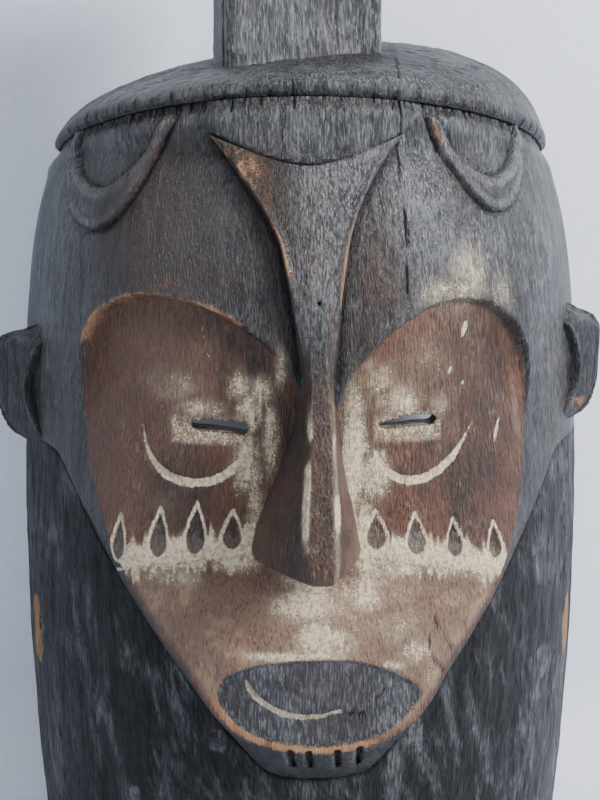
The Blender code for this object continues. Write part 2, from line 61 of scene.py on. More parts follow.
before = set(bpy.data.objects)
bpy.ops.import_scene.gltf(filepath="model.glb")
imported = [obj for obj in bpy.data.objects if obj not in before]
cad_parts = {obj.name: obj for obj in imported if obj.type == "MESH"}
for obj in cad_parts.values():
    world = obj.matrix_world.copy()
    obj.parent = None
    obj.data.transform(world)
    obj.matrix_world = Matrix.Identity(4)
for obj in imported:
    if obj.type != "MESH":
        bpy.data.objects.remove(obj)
CAD_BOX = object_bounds()
MM = 0.001


def plain(box):
    """A box's corners as plain lists of numbers."""
    return [[float(value) for value in corner] for corner in box]


CAD_BOX = plain(CAD_BOX)
TRUNK_HIGH = plain(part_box("trunk_shell"))[1]
CREST_HIGH = plain(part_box("crest_block"))[1]

# The log, in millimetres
BACK_DEPTH = 20.0
AXIS_Y = TRUNK_HIGH[1] / MM - BACK_DEPTH
GIRTH_RADIUS = 108.5
FOOT_TAPER = 7.5
WAIST_Z = 150.0
HEAD_TAPER = 6.0
CROWN_ROUNDING = 11.3
ROUNDING_POWER = 10
WALL = 13.5
CROWN_WALL = 18.5
CHIN_Z = 66.0
NECK_Z = 170.0
BRIM_Z = 271.0
BRIM_ARCH = 17.0
BRIM_ARCH_ANGLE = 80.0
BRIM_OVERHANG = 0.3
CROWN_TOP_Z = 309.5
CROWN_FULLNESS = 2.4
CROWN_LEAN = 8.5
ARCH_FADE = 8
CHIN_HALF_ANGLE = 9.2
JAW_END_ANGLE = 55.0
JAW_ROUNDING = 6.0
FACE_TURN = 1.3
SEAM_GAP = 0.15
UNROLL = 105.0               # radius on which degrees become millimetres round the log
SIDE_END = 101.0             # degrees to the open back's edge, before it is fitted to the log
SIDE_MARGIN = 2.0            # degrees added where the columns of a side are counted
DEPTH_REACH = 6.0            # millimetres beyond which a depth inside an outline isn't counted
GOUGE_WIDTH = 11.0
GOUGE_LENGTH = 17.0


# --- Numbers over a surface -------------------------------------------------------------


def ease(value, low, high):
    """0 below low, 1 above high, and a smooth rise between them."""
    t = np.clip((value - low) / (high - low), 0.0, 1.0)
    return t * t * (3.0 - 2.0 * t)


def bell(value, middle, spread):
    """A smooth hump that is 1 at its middle."""
    return np.exp(-(((value - middle) / spread) ** 2))


def patchy(across, up, wide, tall, seed):
    """Smooth random values from -1 to 1 in patches of a width and a height."""
    table = np.random.default_rng(seed).uniform(-1.0, 1.0, (256, 256))
    x, y = across / wide, up / tall
    column, row = np.floor(x).astype(int), np.floor(y).astype(int)
    fx, fy = x - column, y - row
    fx, fy = fx * fx * (3.0 - 2.0 * fx), fy * fy * (3.0 - 2.0 * fy)
    near, far = column % 256, (column + 1) % 256
    low, high = row % 256, (row + 1) % 256
    bottom = table[near, low] * (1.0 - fx) + table[far, low] * fx
    top = table[near, high] * (1.0 - fx) + table[far, high] * fx
    return bottom * (1.0 - fy) + top * fy


def layered(across, up, wide, tall, seed, layers=3):
    """Patches with finer patches laid over them."""
    total = 0.0
    for layer in range(layers):
        share = 0.5**layer
        total = total + share * patchy(across, up, wide * share, tall * share, seed + layer)
    return total / (2.0 - 0.5 ** (layers - 1))


def curve(points, steps=7):
    """A smooth line through points."""
    knots = np.array([points[0], *points, points[-1]], float)
    line = []
    for a, b, c, d in zip(knots, knots[1:], knots[2:], knots[3:]):
        for step in range(steps):
            t = step / steps
            line.append(
                0.5
                * (
                    2.0 * b
                    + (c - a) * t
                    + (2.0 * a - 5.0 * b + 4.0 * c - d) * t * t
                    + (3.0 * b - a - 3.0 * c + d) * t**3
                )
            )
    line.append(knots[-1])
    return np.array(line)


def unrolled(points, steps=7):
    """A smooth line given in degrees and height, in millimetres on the unrolled log."""
    line = curve(points, steps)
    line[:, 0] = np.radians(line[:, 0]) * UNROLL
    return line


NICK_RATE = 78.233
FLAKE_RATE = 39.346


def uneven(number, turn=0.0):
    """An irregular value from -1 to 1 for each whole number."""
    return np.sin(number * 12.9898 + turn) * np.sin(number * 4.1414)


def chosen(number, above, turn=0.0, rate=NICK_RATE):
    """An irregular choice among whole numbers: fewer of them the higher above is."""
    return np.sin(number * rate + turn) > above


def profile(value, knots):
    """A smooth curve through pairs of a place and a value, read at any place."""
    line = curve(knots, 6)
    return np.interp(value, line[:, 0], line[:, 1])


def to_line(across, up, line):
    """Distance to a line, and how far along it, from 0 to 1, its nearest place is."""
    ends = line[1:] - line[:-1]
    lengths = np.hypot(ends[:, 0], ends[:, 1])
    starts = np.concatenate([[0.0], np.cumsum(lengths)])
    best = np.full(across.shape, 1e6)
    along = np.zeros(across.shape)
    for index, (start, run) in enumerate(zip(line[:-1], ends)):
        square = max(lengths[index] ** 2, 1e-9)
        t = np.clip(((across - start[0]) * run[0] + (up - start[1]) * run[1]) / square, 0.0, 1.0)
        gap = np.hypot(across - start[0] - t * run[0], up - start[1] - t * run[1])
        nearer = gap < best
        best = np.where(nearer, gap, best)
        along = np.where(nearer, (starts[index] + t * lengths[index]) / starts[-1], along)
    return best, along


def near_line(across, up, line, reach):
    """to_line, worked out only for places within reach of the line's box."""
    low, high = line.min(axis=0) - reach, line.max(axis=0) + reach
    close = (across > low[0]) & (across < high[0]) & (up > low[1]) & (up < high[1])
    gap = np.full(across.shape, 1e6)
    along = np.zeros(across.shape)
    if close.any():
        gap[close], along[close] = to_line(across[close], up[close], line)
    return gap, along


def depth_inside(across, up, line, reach=12.0):
    """Distance inside a closed line, and below 0 outside it, never beyond reach."""
    closed = np.concatenate([line, line[:1]])
    gap, _ = near_line(across, up, closed, reach)
    gap = np.minimum(gap, reach)
    return np.where(within(across, up, line), gap, -gap)


def within(across, up, line):
    """Which places lie inside a closed line."""
    inside = np.zeros(across.shape, bool)
    for (x0, y0), (x1, y1) in zip(line, np.roll(line, -1, axis=0)):
        if y0 == y1:
            continue
        crosses = (up > min(y0, y1)) & (up <= max(y0, y1))
        inside ^= crosses & (across < x0 + (up - y0) * (x1 - x0) / (y1 - y0))
    return inside


# --- The log ----------------------------------------------------------------------------


def log_radius(z):
    """Outside radius of the log at a height."""
    t = np.maximum(z, 0.0) / BRIM_Z
    below_waist = np.maximum(0.0, 1.0 - np.maximum(z, 0.0) / WAIST_Z)
    radius = GIRTH_RADIUS - FOOT_TAPER * below_waist**2
    return radius - HEAD_TAPER * t**2 - CROWN_ROUNDING * np.minimum(t, 1.0) ** ROUNDING_POWER


def jaw_line(angle):
    """Height of the joint between head and trunk."""
    slope = (NECK_Z - CHIN_Z) / (JAW_END_ANGLE - CHIN_HALF_ANGLE)
    rising = CHIN_Z + slope * (np.abs(angle - FACE_TURN) - CHIN_HALF_ANGLE)
    low = 0.5 * (CHIN_Z + rising + np.hypot(CHIN_Z - rising, JAW_ROUNDING))
    return 0.5 * (NECK_Z + low - np.hypot(NECK_Z - low, JAW_ROUNDING))


def brim_line(angle):
    """Height of the joint between head and crown."""
    return BRIM_Z + BRIM_ARCH * np.maximum(0.0, np.cos(np.radians(angle * 90.0 / BRIM_ARCH_ANGLE)))


def log_grid(fine, coarse, fine_half_angle, rows, low_line, high_line, inset=0.0):
    """Angles and heights of a grid on the log's wall, whose ends lie on the open back."""
    front = np.linspace(-fine_half_angle, fine_half_angle, int(2 * fine_half_angle / fine) + 1)
    side = SIDE_END - fine_half_angle
    count = int((side + SIDE_MARGIN) / coarse)
    share = np.linspace(0.0, 1.0, count + 1)[1:]
    nominal_side = fine_half_angle + share * side
    nominal = np.concatenate([-nominal_side[::-1], front, nominal_side])
    up = np.linspace(0.0, 1.0, rows + 1)[:, None]
    heights = low_line(nominal) + up * (high_line(nominal) - low_line(nominal))
    radius = log_radius(heights) - inset
    end = np.degrees(np.arccos(-BACK_DEPTH / radius))
    beyond = np.clip((np.abs(nominal) - fine_half_angle) / side, 0.0, 1.0)
    inside = np.minimum(np.abs(nominal), fine_half_angle)
    angles = np.sign(nominal) * (inside + beyond * (end - fine_half_angle))
    return angles, heights


def around(radius, angle, z):
    """Points in metres at radii and angles round the trunk's axis."""
    turn = np.radians(angle)
    x = radius * np.sin(turn)
    y = AXIS_Y - radius * np.cos(turn)
    return np.stack([x, y, np.broadcast_to(z, x.shape)], axis=-1) * MM


# --- Meshes -----------------------------------------------------------------------------

# What the carving leaves on every point for the finishes: depths in millimetres inside the outlines,
# then shares from 0 to 1. The cut share holds soot and also painted shade, and the dust share holds dust and
# also painted sheen and highlights
MASKS = {
    "face": -DEPTH_REACH, "mouth": -DEPTH_REACH, "tear": -DEPTH_REACH, "stroke": -DEPTH_REACH,
    "clay": 0.0, "dust": 0.0, "bare": 0.0, "warm": 0.0, "cut": 0.0, "raw": 0.0,
}


def blank_masks(shape):
    """Every mask at its plain value."""
    return {label: np.full(shape, value) for label, value in MASKS.items()}


def grid_faces(first, rows, columns, wrap=False, flip=False):
    """Quads over a grid of points that are numbered row by row."""
    last = columns if wrap else columns - 1
    row, column = np.meshgrid(np.arange(rows - 1), np.arange(last), indexing="ij")
    after = (column + 1) % columns
    corners = [
        first + row * columns + column,
        first + row * columns + after,
        first + (row + 1) * columns + after,
        first + (row + 1) * columns + column,
    ]
    if flip:
        corners = corners[::-1]
    return np.stack(corners, axis=-1).reshape(-1, 4).tolist()


def stitch(one, other, flip=False):
    """Triangles between two rows of points that run side by side with different counts."""
    faces = []
    a, b = 0, 0
    while a < len(one) - 1 or b < len(other) - 1:
        ahead_a = (a + 1) / max(1, len(one) - 1)
        ahead_b = (b + 1) / max(1, len(other) - 1)
        if b >= len(other) - 1 or (a < len(one) - 1 and ahead_a <= ahead_b):
            face = (one[a], one[a + 1], other[b])
            a += 1
        else:
            face = (one[a], other[b + 1], other[b])
            b += 1
        faces.append(face[::-1] if flip else face)
    return faces


def make_piece(name, points, faces, masks, node, material):
    """Builds one visible piece, with its masks, in place of a CAD node."""
    mesh = bpy.data.meshes.new(name)
    mesh.from_pydata(np.asarray(points).tolist(), [], faces)
    mesh.update()
    for label, values in masks.items():
        layer = mesh.attributes.new(label, "FLOAT", "POINT")
        layer.data.foreach_set("value", np.asarray(values, np.float32).ravel())
    mesh.shade_smooth()
    mesh.set_sharp_from_angle(angle=math.radians(50.0))
    piece = bpy.data.objects.new(name, mesh)
    bpy.context.scene.collection.objects.link(piece)
    piece.data.materials.append(material)
    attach(piece, "root")
    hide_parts(node)
    return piece


def wall_piece(name, node, material, outer, outer_masks, inner, inner_masks):
    """A closed wall from an outside grid and a coarser inside grid of points."""
    rows, columns = outer.shape[:2]
    inner_rows, inner_columns = inner.shape[:2]
    start = rows * columns
    points = np.concatenate([outer.reshape(-1, 3), inner.reshape(-1, 3)])
    faces = grid_faces(0, rows, columns)
    faces += grid_faces(start, inner_rows, inner_columns, flip=True)
    front = np.arange(start).reshape(rows, columns)
    back = start + np.arange(inner_rows * inner_columns).reshape(inner_rows, inner_columns)
    faces += stitch(front[0], back[0], flip=True)
    faces += stitch(front[-1], back[-1])
    faces += stitch(front[:, 0], back[:, 0])
    faces += stitch(front[:, -1], back[:, -1], flip=True)
    masks = {}
    for label, plain_value in MASKS.items():
        out = np.broadcast_to(outer_masks.get(label, plain_value), (rows, columns))
        back_side = np.broadcast_to(inner_masks.get(label, plain_value), (inner_rows, inner_columns))
        masks[label] = np.concatenate([out.ravel(), back_side.ravel()])
    return make_piece(name, points, faces, masks, node, material)


def cut_away(piece, tools):
    """Cuts joined tools out of a piece, and removes them."""
    for tool in tools:
        modifier = piece.modifiers.new("cut", "BOOLEAN")
        modifier.operation = "DIFFERENCE"
        modifier.solver = "EXACT"
        modifier.object = tool
    shape = bpy.data.meshes.new_from_object(
        piece.evaluated_get(bpy.context.evaluated_depsgraph_get())
    )
    piece.modifiers.clear()
    old = piece.data
    piece.data = shape
    shape.name = piece.name
    bpy.data.meshes.remove(old)
    for tool in tools:
        bpy.data.objects.remove(tool, do_unlink=True)


# --- The carved head --------------------------------------------------------------------

# Edges of the nose and shield, which the head's groove follows too: height, then degrees
# of the left and the right edge
NOSE_TIP_Z = 141.2
NOSE_SIDES = [
    (NOSE_TIP_Z, -8.6, 7.4), (142.6, -10.2, 8.3), (145.5, -10.4, 8.5), (150.5, -9.9, 8.3),
    (154.0, -9.4, 8.1),
    (160.0, -8.2, 7.5), (166.0, -6.8, 6.7), (176.0, -4.7, 5.7), (186.0, -3.0, 5.0), (196.0, -2.1, 4.5),
    (206.0, -2.2, 4.5), (216.0, -2.8, 4.9), (228.0, -4.0, 5.6), (240.0, -5.4, 6.7), (247.0, -7.0, 7.7),
    (257.0, -10.8, 10.2), (266.0, -15.1, 13.7), (277.0, -20.8, 19.4),
]
# The heart-shaped edge of the face in degrees and height: from the bridge of the nose over
# each brow arch and down the jaw to the chin
HEART_RIGHT = [
    (4.6, 190.0), (6.1, 196.0), (7.8, 201.5), (11.4, 208.4), (15.4, 214.6), (19.6, 219.2), (24.0, 222.2),
    (28.6, 223.4), (33.4, 222.4), (38.4, 218.9), (42.3, 213.0), (44.7, 206.0), (45.7, 197.5),
    (45.5, 187.0), (44.3, 174.0), (42.3, 160.0), (39.2, 144.5), (34.3, 128.5), (28.3, 115.3),
    (22.9, 103.8), (19.7, 94.8), (15.5, 86.8), (9.6, 82.0), (1.3, 80.2),
]
HEART_LEFT = [
    (-1.0, 189.0), (-2.2, 195.2), (-4.4, 202.5), (-8.0, 209.8), (-13.0, 216.6), (-18.3, 221.0),
    (-23.6, 223.6), (-29.3, 224.8), (-34.9, 223.8), (-40.4, 220.2), (-44.3, 214.6), (-46.3, 208.0),
    (-47.0, 199.5), (-46.7, 189.0), (-45.1, 175.5), (-42.5, 162.5), (-37.4, 145.0), (-31.8, 128.7),
    (-25.8, 115.4), (-20.5, 104.0), (-17.2, 95.0), (-13.0, 87.0), (-7.0, 82.0), (1.3, 80.2),
]
# Radius of the face at heights, down its middle and along its edge
FACE_MIDDLE = [
    (80.0, 118.4), (95.0, 118.2), (108.0, 118.5), (112.5, 117.9), (120.0, 115.4), (130.0, 111.8),
    (140.0, 108.2), (150.0, 105.3), (165.0, 102.4), (180.0, 100.6), (200.0, 100.2), (215.0, 99.9),
    (226.0, 99.3),
]
FACE_EDGE = [
    (80.0, 118.0), (95.0, 116.4), (108.0, 114.8), (120.0, 113.0), (130.0, 111.6), (140.0, 110.4),
    (150.0, 109.0), (165.0, 106.8), (180.0, 104.4), (200.0, 101.4), (215.0, 99.6), (226.0, 98.6),
]
MOUTH = [
    (-14.2, 104.6), (-9.8, 109.2), (-4.2, 111.3), (1.8, 112.0), (7.4, 110.9), (13.0, 106.2),
    (17.8, 98.4), (14.8, 90.6), (10.2, 84.9), (4.1, 82.6), (-1.6, 82.8), (-7.6, 84.6),
    (-12.4, 89.6), (-15.2, 97.0),
]
SMILE = [
    (-10.6, 104.2), (-9.4, 99.6), (-7.2, 96.1), (-4.6, 93.6), (-1.6, 92.5), (1.4, 92.9), (4.4, 94.4),
]
# Small pits that carry the smile's line on: angle, height and size
PITS = [(6.0, 92.8, 0.8), (7.6, 92.3, 1.0), (8.9, 95.4, 0.45), (10.3, 97.6, 0.55), (11.4, 100.2, 0.6)]
CHIN_SLOTS = [(-3.3, 77.2), (-0.4, 76.9), (4.1, 77.2), (7.6, 77.9)]
# The clay-filled line under each eye
CRESCENTS = [
    [(-32.4, 182.4), (-31.2, 175.5), (-29.2, 170.2), (-26.2, 166.4), (-22.4, 165.0), (-18.5, 165.6),
     (-15.2, 168.5), (-13.0, 173.0), (-12.0, 177.0)],
    [(31.8, 182.2), (28.3, 174.4), (24.5, 168.7), (20.2, 165.6), (16.5, 166.1), (13.6, 169.6),
     (12.0, 175.0)],
]
# The pointed arches on the cheeks: angle, foot, height and width
ARCHES = [
    (-35.4, 137.0, 15.6, 5.6), (-27.5, 139.8, 16.4, 7.0), (-20.6, 141.8, 17.0, 7.4),
    (-13.9, 144.3, 12.8, 7.2), (11.5, 144.0, 12.6, 7.6), (18.8, 141.4, 13.8, 7.2),
    (26.2, 139.2, 13.0, 6.6), (34.6, 136.6, 12.6, 6.4),
]
# Half an arch from foot to point, as shares of its half width and its height
ARCH_SIDE = [(0.34, 0.0), (0.90, 0.16), (0.98, 0.34), (0.66, 0.62), (0.26, 0.84), (0.0, 1.0)]
# The line that each row of arches stands on
CHEEK_LINES = [
    [(-37.4, 132.6), (-31.0, 136.6), (-24.5, 139.4), (-17.0, 141.6), (-10.5, 143.2)],
    [(7.8, 142.6), (14.0, 141.0), (19.8, 138.6), (26.0, 136.2), (32.5, 132.8), (36.5, 131.2)],
]
# The two edges of the raised band at each temple
CURLS_OUTER = [
    [(-60.8, 280.0), (-61.0, 268.0), (-58.0, 258.4), (-52.9, 249.4), (-46.9, 245.4), (-41.4, 247.4),
     (-37.6, 253.6), (-34.5, 261.8), (-31.8, 271.4), (-27.8, 282.0)],
    [(24.2, 282.0), (27.8, 270.3), (31.3, 261.7), (34.6, 255.2), (38.9, 251.4), (44.3, 253.4),
     (49.5, 261.0), (53.0, 269.2), (53.6, 280.0)],
]
CURLS_INNER = [
    [(-58.4, 280.0), (-57.4, 270.8), (-53.4, 263.4), (-47.4, 259.2), (-42.3, 260.6), (-37.1, 267.3),
     (-30.8, 282.0)],
    [(26.8, 282.0), (31.0, 271.6), (34.9, 265.8), (39.8, 262.9), (45.1, 265.7), (49.6, 272.0),
     (51.2, 280.0)],
]
HAIR_LINE = [(-23.0, 278.6), (-20.0, 276.2), (-16.1, 273.2), (-11.3, 270.0), (-5.9, 267.4), (-0.7, 266.4),
             (5.8, 267.4), (11.4, 270.1), (15.7, 273.3), (19.0, 276.4), (22.0, 279.4)]
AGE_CRACK = [(18.0, 290.0), (18.2, 278.0), (17.6, 262.0), (18.0, 246.0), (17.5, 232.0), (17.9, 220.0)]
CHEEK_CRACKS = [
    [(20.0, 127.0), (21.0, 119.0), (22.4, 114.5), (23.8, 110.0)],
    [(19.2, 115.5), (19.6, 110.0), (20.8, 106.5), (22.2, 103.4)],
]
SCRATCH = [(-20.6, 221.5), (-20.2, 214.0), (-18.6, 205.0), (-15.4, 198.5)]
# The see-through part of each eye: a thin wedge, in degrees and height
EYES = [
    [(-22.2, 184.4), (-19.0, 185.6), (-15.5, 185.2), (-11.9, 184.7), (-11.9, 181.0), (-14.6, 181.5),
     (-19.0, 181.9), (-22.1, 182.2)],
    [(12.6, 184.0), (16.4, 185.8), (20.0, 186.6), (23.9, 185.6), (23.4, 183.0), (20.6, 183.0),
     (16.6, 182.6), (13.4, 182.8)],
]
# How far the tool that cuts an eye reaches before and behind the face, and its rise, in metres
EYE_TOOL_FRONT = 0.012
EYE_TOOL_BACK = 0.030
EYE_TOOL_RISE = 0.0004
# The clay-filled slot round each eye: middle, half width and level
EYE_SLOTS = [(-18.6, 12.4, 182.2), (18.2, 10.8, 182.8)]
# Clay rubbed on by hand: angle, height, how wide, how tall, how thick
CLAY_WASHES = [
    (-7.5, 180.0, 3.5, 14.0, 0.72), (-13.0, 196.0, 6.0, 6.0, 0.52), (-11.5, 172.0, 5.5, 12.0, 0.80),
    (-10.0, 156.0, 4.0, 12.0, 0.62), (-11.0, 188.0, 6.0, 8.0, 0.72),
    (-20.0, 189.0, 11.0, 4.0, 0.58), (-26.0, 196.0, 13.0, 7.0, 0.36), (-5.6, 202.0, 2.4, 7.5, 0.66),
    (-9.0, 195.0, 6.0, 6.0, 0.58), (-25.0, 184.0, 4.0, 4.0, 0.45), (8.0, 178.0, 4.6, 20.0, 0.92),
    (11.5, 168.0, 7.0, 10.0, 0.66), (10.0, 152.0, 4.5, 10.0, 0.74), (16.5, 191.0, 11.0, 6.0, 0.62),
    (13.0, 199.0, 8.0, 8.0, 0.50), (24.5, 189.0, 6.0, 5.0, 0.42), (22.0, 205.0, 13.0, 9.0, 0.30),
    (2.0, 126.0, 17.0, 13.0, 0.50), (10.5, 141.0, 9.0, 9.0, 0.58), (0.0, 137.0, 10.0, 6.0, 0.88),
    (-2.0, 128.0, 12.0, 7.0, 0.78), (1.5, 118.5, 11.0, 6.0, 0.80),
    (9.0, 131.0, 12.0, 7.0, 0.66), (13.0, 121.0, 10.0, 6.0, 0.50), (17.0, 112.5, 8.0, 5.0, 0.52),
    (-13.0, 141.0, 9.0, 4.0, 0.70), (14.0, 137.5, 12.0, 3.4, 0.62), (27.0, 134.5, 9.0, 3.0, 0.45),
    (30.5, 231.0, 9.0, 12.0, 0.58), (24.0, 226.0, 10.0, 6.0, 0.46), (39.0, 224.0, 8.0, 9.0, 0.42),
    (-24.0, 135.0, 13.0, 4.5, 0.44), (-3.0, 112.8, 15.0, 1.8, 0.84), (12.0, 108.6, 6.0, 2.0, 0.66),
    (20.0, 104.0, 4.0, 6.0, 0.36), (-27.0, 158.0, 6.0, 6.0, 0.22), (43.0, 185.0, 2.4, 22.0, 0.26),
]
# Single dabs of clay: angle, height, how wide, how tall
CLAY_SPOTS = [
    (30.6, 213.5, 1.0, 2.4), (27.2, 200.4, 0.8, 1.2), (37.6, 179.0, 0.7, 3.6), (30.0, 196.0, 0.5, 0.7),
]
# Warm brown zones of the blackened wood: angle, height, how wide, how tall, how strong
WARM_ZONES = [
    (-30.0, 250.0, 22.0, 22.0, 0.75), (-24.0, 232.0, 24.0, 8.0, 0.85), (-8.0, 250.0, 9.0, 26.0, 0.55),
    (12.0, 232.0, 8.0, 20.0, 0.60), (-5.0, 215.0, 9.0, 10.0, 0.75), (9.0, 212.0, 7.0, 8.0, 0.65),
    (-33.0, 262.0, 8.0, 14.0, 0.60), (33.0, 262.0, 8.0, 8.0, 0.35),
]
SOOTY_ZONES = [
    (-42.0, 250.0, 7.0, 16.0, 0.60), (-36.0, 262.0, 6.0, 14.0, 0.55), (-25.0, 268.0, 7.0, 9.0, 0.45),
]
# Grey patches of dust and painted sheen: angle, height, how wide, how tall, how strong. The strips down both
# sides of the head and the right forehead are painted satin highlights
DUST_AND_SHEEN_ZONES = [
    (22.0, 255.0, 15.0, 30.0, 0.90), (34.0, 236.0, 16.0, 16.0, 0.95), (0.0, 279.0, 32.0, 8.0, 0.75),
    (56.0, 235.0, 22.0, 42.0, 0.60), (-60.0, 235.0, 20.0, 45.0, 0.62), (-52.0, 205.0, 6.0, 30.0, 0.35),
    (-44.0, 272.0, 12.0, 9.0, 0.55), (42.0, 272.0, 12.0, 9.0, 0.60), (-50.0, 252.0, 8.0, 6.0, 0.40),
]


def rolled(points):
    """Places in degrees and height, in millimetres on the unrolled log."""
    line = np.array(points, float)
    line[:, 0] = np.radians(line[:, 0]) * UNROLL
    return line


def heart_outline():
    """The whole outline of the face on the unrolled log."""
    return np.concatenate([unrolled(HEART_RIGHT, 4), unrolled(HEART_LEFT, 4)[::-1][1:]])


def arch_outline(angle, base, height, width):
    """A pointed arch with slightly bulging sides."""
    middle = math.radians(angle) * UNROLL
    half = width / 2.0
    side = curve(ARCH_SIDE, 4)
    right = side * [half, height] + [middle, base]
    left = side * [-half, height] + [middle, base]
    return np.concatenate([right, left[::-1][1:]])


def face_radius(angle, z):
    """Radius of the face's own surface."""
    right, left = np.array(HEART_RIGHT[12:]), np.array(HEART_LEFT[12:])
    right_edge = np.interp(z, right[::-1, 1], right[::-1, 0])
    left_edge = np.interp(z, left[::-1, 1], left[::-1, 0])
    off = angle - FACE_TURN
    reach = np.where(off > 0.0, right_edge - FACE_TURN, FACE_TURN - left_edge)
    share = np.clip(np.abs(off) / np.maximum(reach, 9.0), 0.0, 1.1) ** 2
    middle = profile(z, FACE_MIDDLE)
    return middle + (profile(z, FACE_EDGE) - middle) * share


def zones(across, up, places):
    """The strongest of several soft patches at every point."""
    total = np.zeros(across.shape)
    for angle, height, wide, tall, strength in places:
        middle = math.radians(angle) * UNROLL
        total = np.maximum(total, strength * bell(across, middle, wide) * bell(up, height, tall))
    return total


class Carver:
    """The head's outside as it is carved: its relief in millimetres, and its masks."""

    def __init__(self, angle, z):
        """Starts from the plain log at angles and heights."""
        self.angle, self.z = angle, z
        self.across = np.radians(angle) * UNROLL
        self.base = log_radius(z)
        self.masks = blank_masks(angle.shape)
        self.off = angle - FACE_TURN
        self.relief = np.zeros(angle.shape)

    def darken(self, amount):
        """Marks a cut that soot has filled, or paints shade into a crease."""
        self.masks["cut"] = np.maximum(self.masks["cut"], amount)

    def stroke(self, depth):
        """Marks the inside of a line filled with clay."""
        self.masks["stroke"] = np.maximum(self.masks["stroke"], np.maximum(depth, -DEPTH_REACH))

    def carve_heart(self):
        """The face, the wall under the jaw, and the lip along the brow arches."""
        across, z, base = self.across, self.z, self.base
        heart = heart_outline()
        gap, _ = to_line(across, z, heart)
        depth = np.where(within(across, z, heart), gap, -gap)
        jaw = jaw_line(self.angle)
        rise = jaw_line(self.angle + 0.5) - jaw_line(self.angle - 0.5)
        slope = rise / (math.radians(1.0) * UNROLL)
        to_crease = (z - jaw) / np.hypot(1.0, slope)
        share = gap / np.maximum(gap + to_crease, 1e-3)
        wall = (profile(z, FACE_EDGE) - base) * (1.0 - share) ** 0.85
        wall *= (1.0 - ease(z, 178.0, 196.0)) * (1.0 - ease(np.abs(self.off), 50.0, 64.0))
        face = face_radius(self.angle, z) - base
        blend = ease(depth, -0.9, 0.7)
        self.relief += wall * (1.0 - blend) + face * blend
        self.relief += 0.55 * bell(depth, -1.6, 2.4) * ease(z, 192.0, 206.0)
        self.masks["face"] = np.clip(depth, -DEPTH_REACH, DEPTH_REACH)
        self.inside = depth
        arch_wear = bell(depth, -0.7, 1.5) * ease(z, 200.0, 214.0) * (self.angle < -12.0)
        arch_wear += 0.55 * bell(depth, -0.6, 1.2) * ease(z, 200.0, 212.0) * (self.angle > -12.0)
        arch_wear += 0.35 * bell(depth, -0.4, 1.0) * (1.0 - ease(z, 190.0, 200.0))
        self.masks["bare"] = arch_wear * (0.62 + 0.45 * layered(across, z, 14.0, 6.0, 11))

    def carve_mouth(self):
        """The muzzle's flat end under a thin lip, the clay line across it and its pits."""
        across, z = self.across, self.z
        depth = depth_inside(across, z, unrolled(MOUTH + MOUTH[:1], 4), 20.0)
        self.relief -= 1.0 * ease(depth, -0.3, 1.5)
        self.relief += 0.4 * bell(depth, -1.0, 1.0) * ease(z, 96.0, 104.0)
        self.masks["mouth"] = np.clip(depth, -DEPTH_REACH, DEPTH_REACH)
        rim = bell(depth, -0.8, 1.3) * (1.0 - ease(z, 92.0, 104.0))
        rim *= 1.0 - 0.7 * ease(self.angle, 6.0, 12.0)
        self.masks["bare"] = np.maximum(self.masks["bare"], 0.95 * rim)
        gap, along = near_line(across, z, unrolled(SMILE), 8.0)
        width = 0.95 * ease(along, -0.06, 0.10) * (1.0 - 0.45 * ease(along, 0.5, 1.0))
        self.smile = np.maximum(width - gap, -DEPTH_REACH)
        self.relief -= 0.5 * ease(self.smile, -0.3, 0.3)
        for angle, height, size in PITS:
            middle = math.radians(angle) * UNROLL
            pit = bell(across, middle + 0.3 * (z - height), size) * bell(z, height, 1.3 * size)
            self.relief -= 1.4 * pit
            self.darken(ease(pit, 0.3, 0.7))

    def carve_chin(self):
        """The four slots under the chin."""
        for angle, height in CHIN_SLOTS:
            lean = self.across - math.radians(angle) * UNROLL - 0.13 * (height - self.z)
            slot = (1.0 - ease(np.abs(lean), 0.4, 1.1)) * (1.0 - ease(np.abs(self.z - height), 3.2, 4.8))
            self.relief -= 2.4 * slot
            self.darken(ease(slot, 0.2, 0.7))
            # Painted highlight along the left edge of each slot, laid as dust
            beside = bell(lean, -1.7, 0.5) * bell(self.z, height, 4.0)
            self.masks["dust"] = np.maximum(self.masks["dust"], beside)

    def carve_eyes(self):
        """Swelling lids, the sunken slots of the eyes and the crescents under them."""
        across, z = self.across, self.z
        for middle, half, level in EYE_SLOTS:
            lid = bell(across, math.radians(1.2 * middle) * UNROLL, 13.0) * bell(z, 174.0, 8.0)
            self.relief += 0.9 * lid
            side = np.abs(across - math.radians(middle) * UNROLL) - half
            edge = np.maximum(side, np.abs(z - level) - 3.2)
            self.relief -= 1.1 * (1.0 - ease(edge, -0.9, 0.9))
            self.masks["clay"] = np.maximum(self.masks["clay"], 0.50 * (1.0 - ease(edge, 0.2, 2.8)))
            self.stroke(0.12 - np.abs(edge))
        for points in CRESCENTS:
            gap, along = near_line(across, z, unrolled(points), 8.0)
            width = 0.25 + 1.15 * ease(along, 0.0, 0.40) * (1.0 - 0.45 * ease(along, 0.75, 1.0))
            self.relief -= 0.4 * (1.0 - ease(gap, width * 0.6, width * 1.4))
            self.stroke(width - gap)

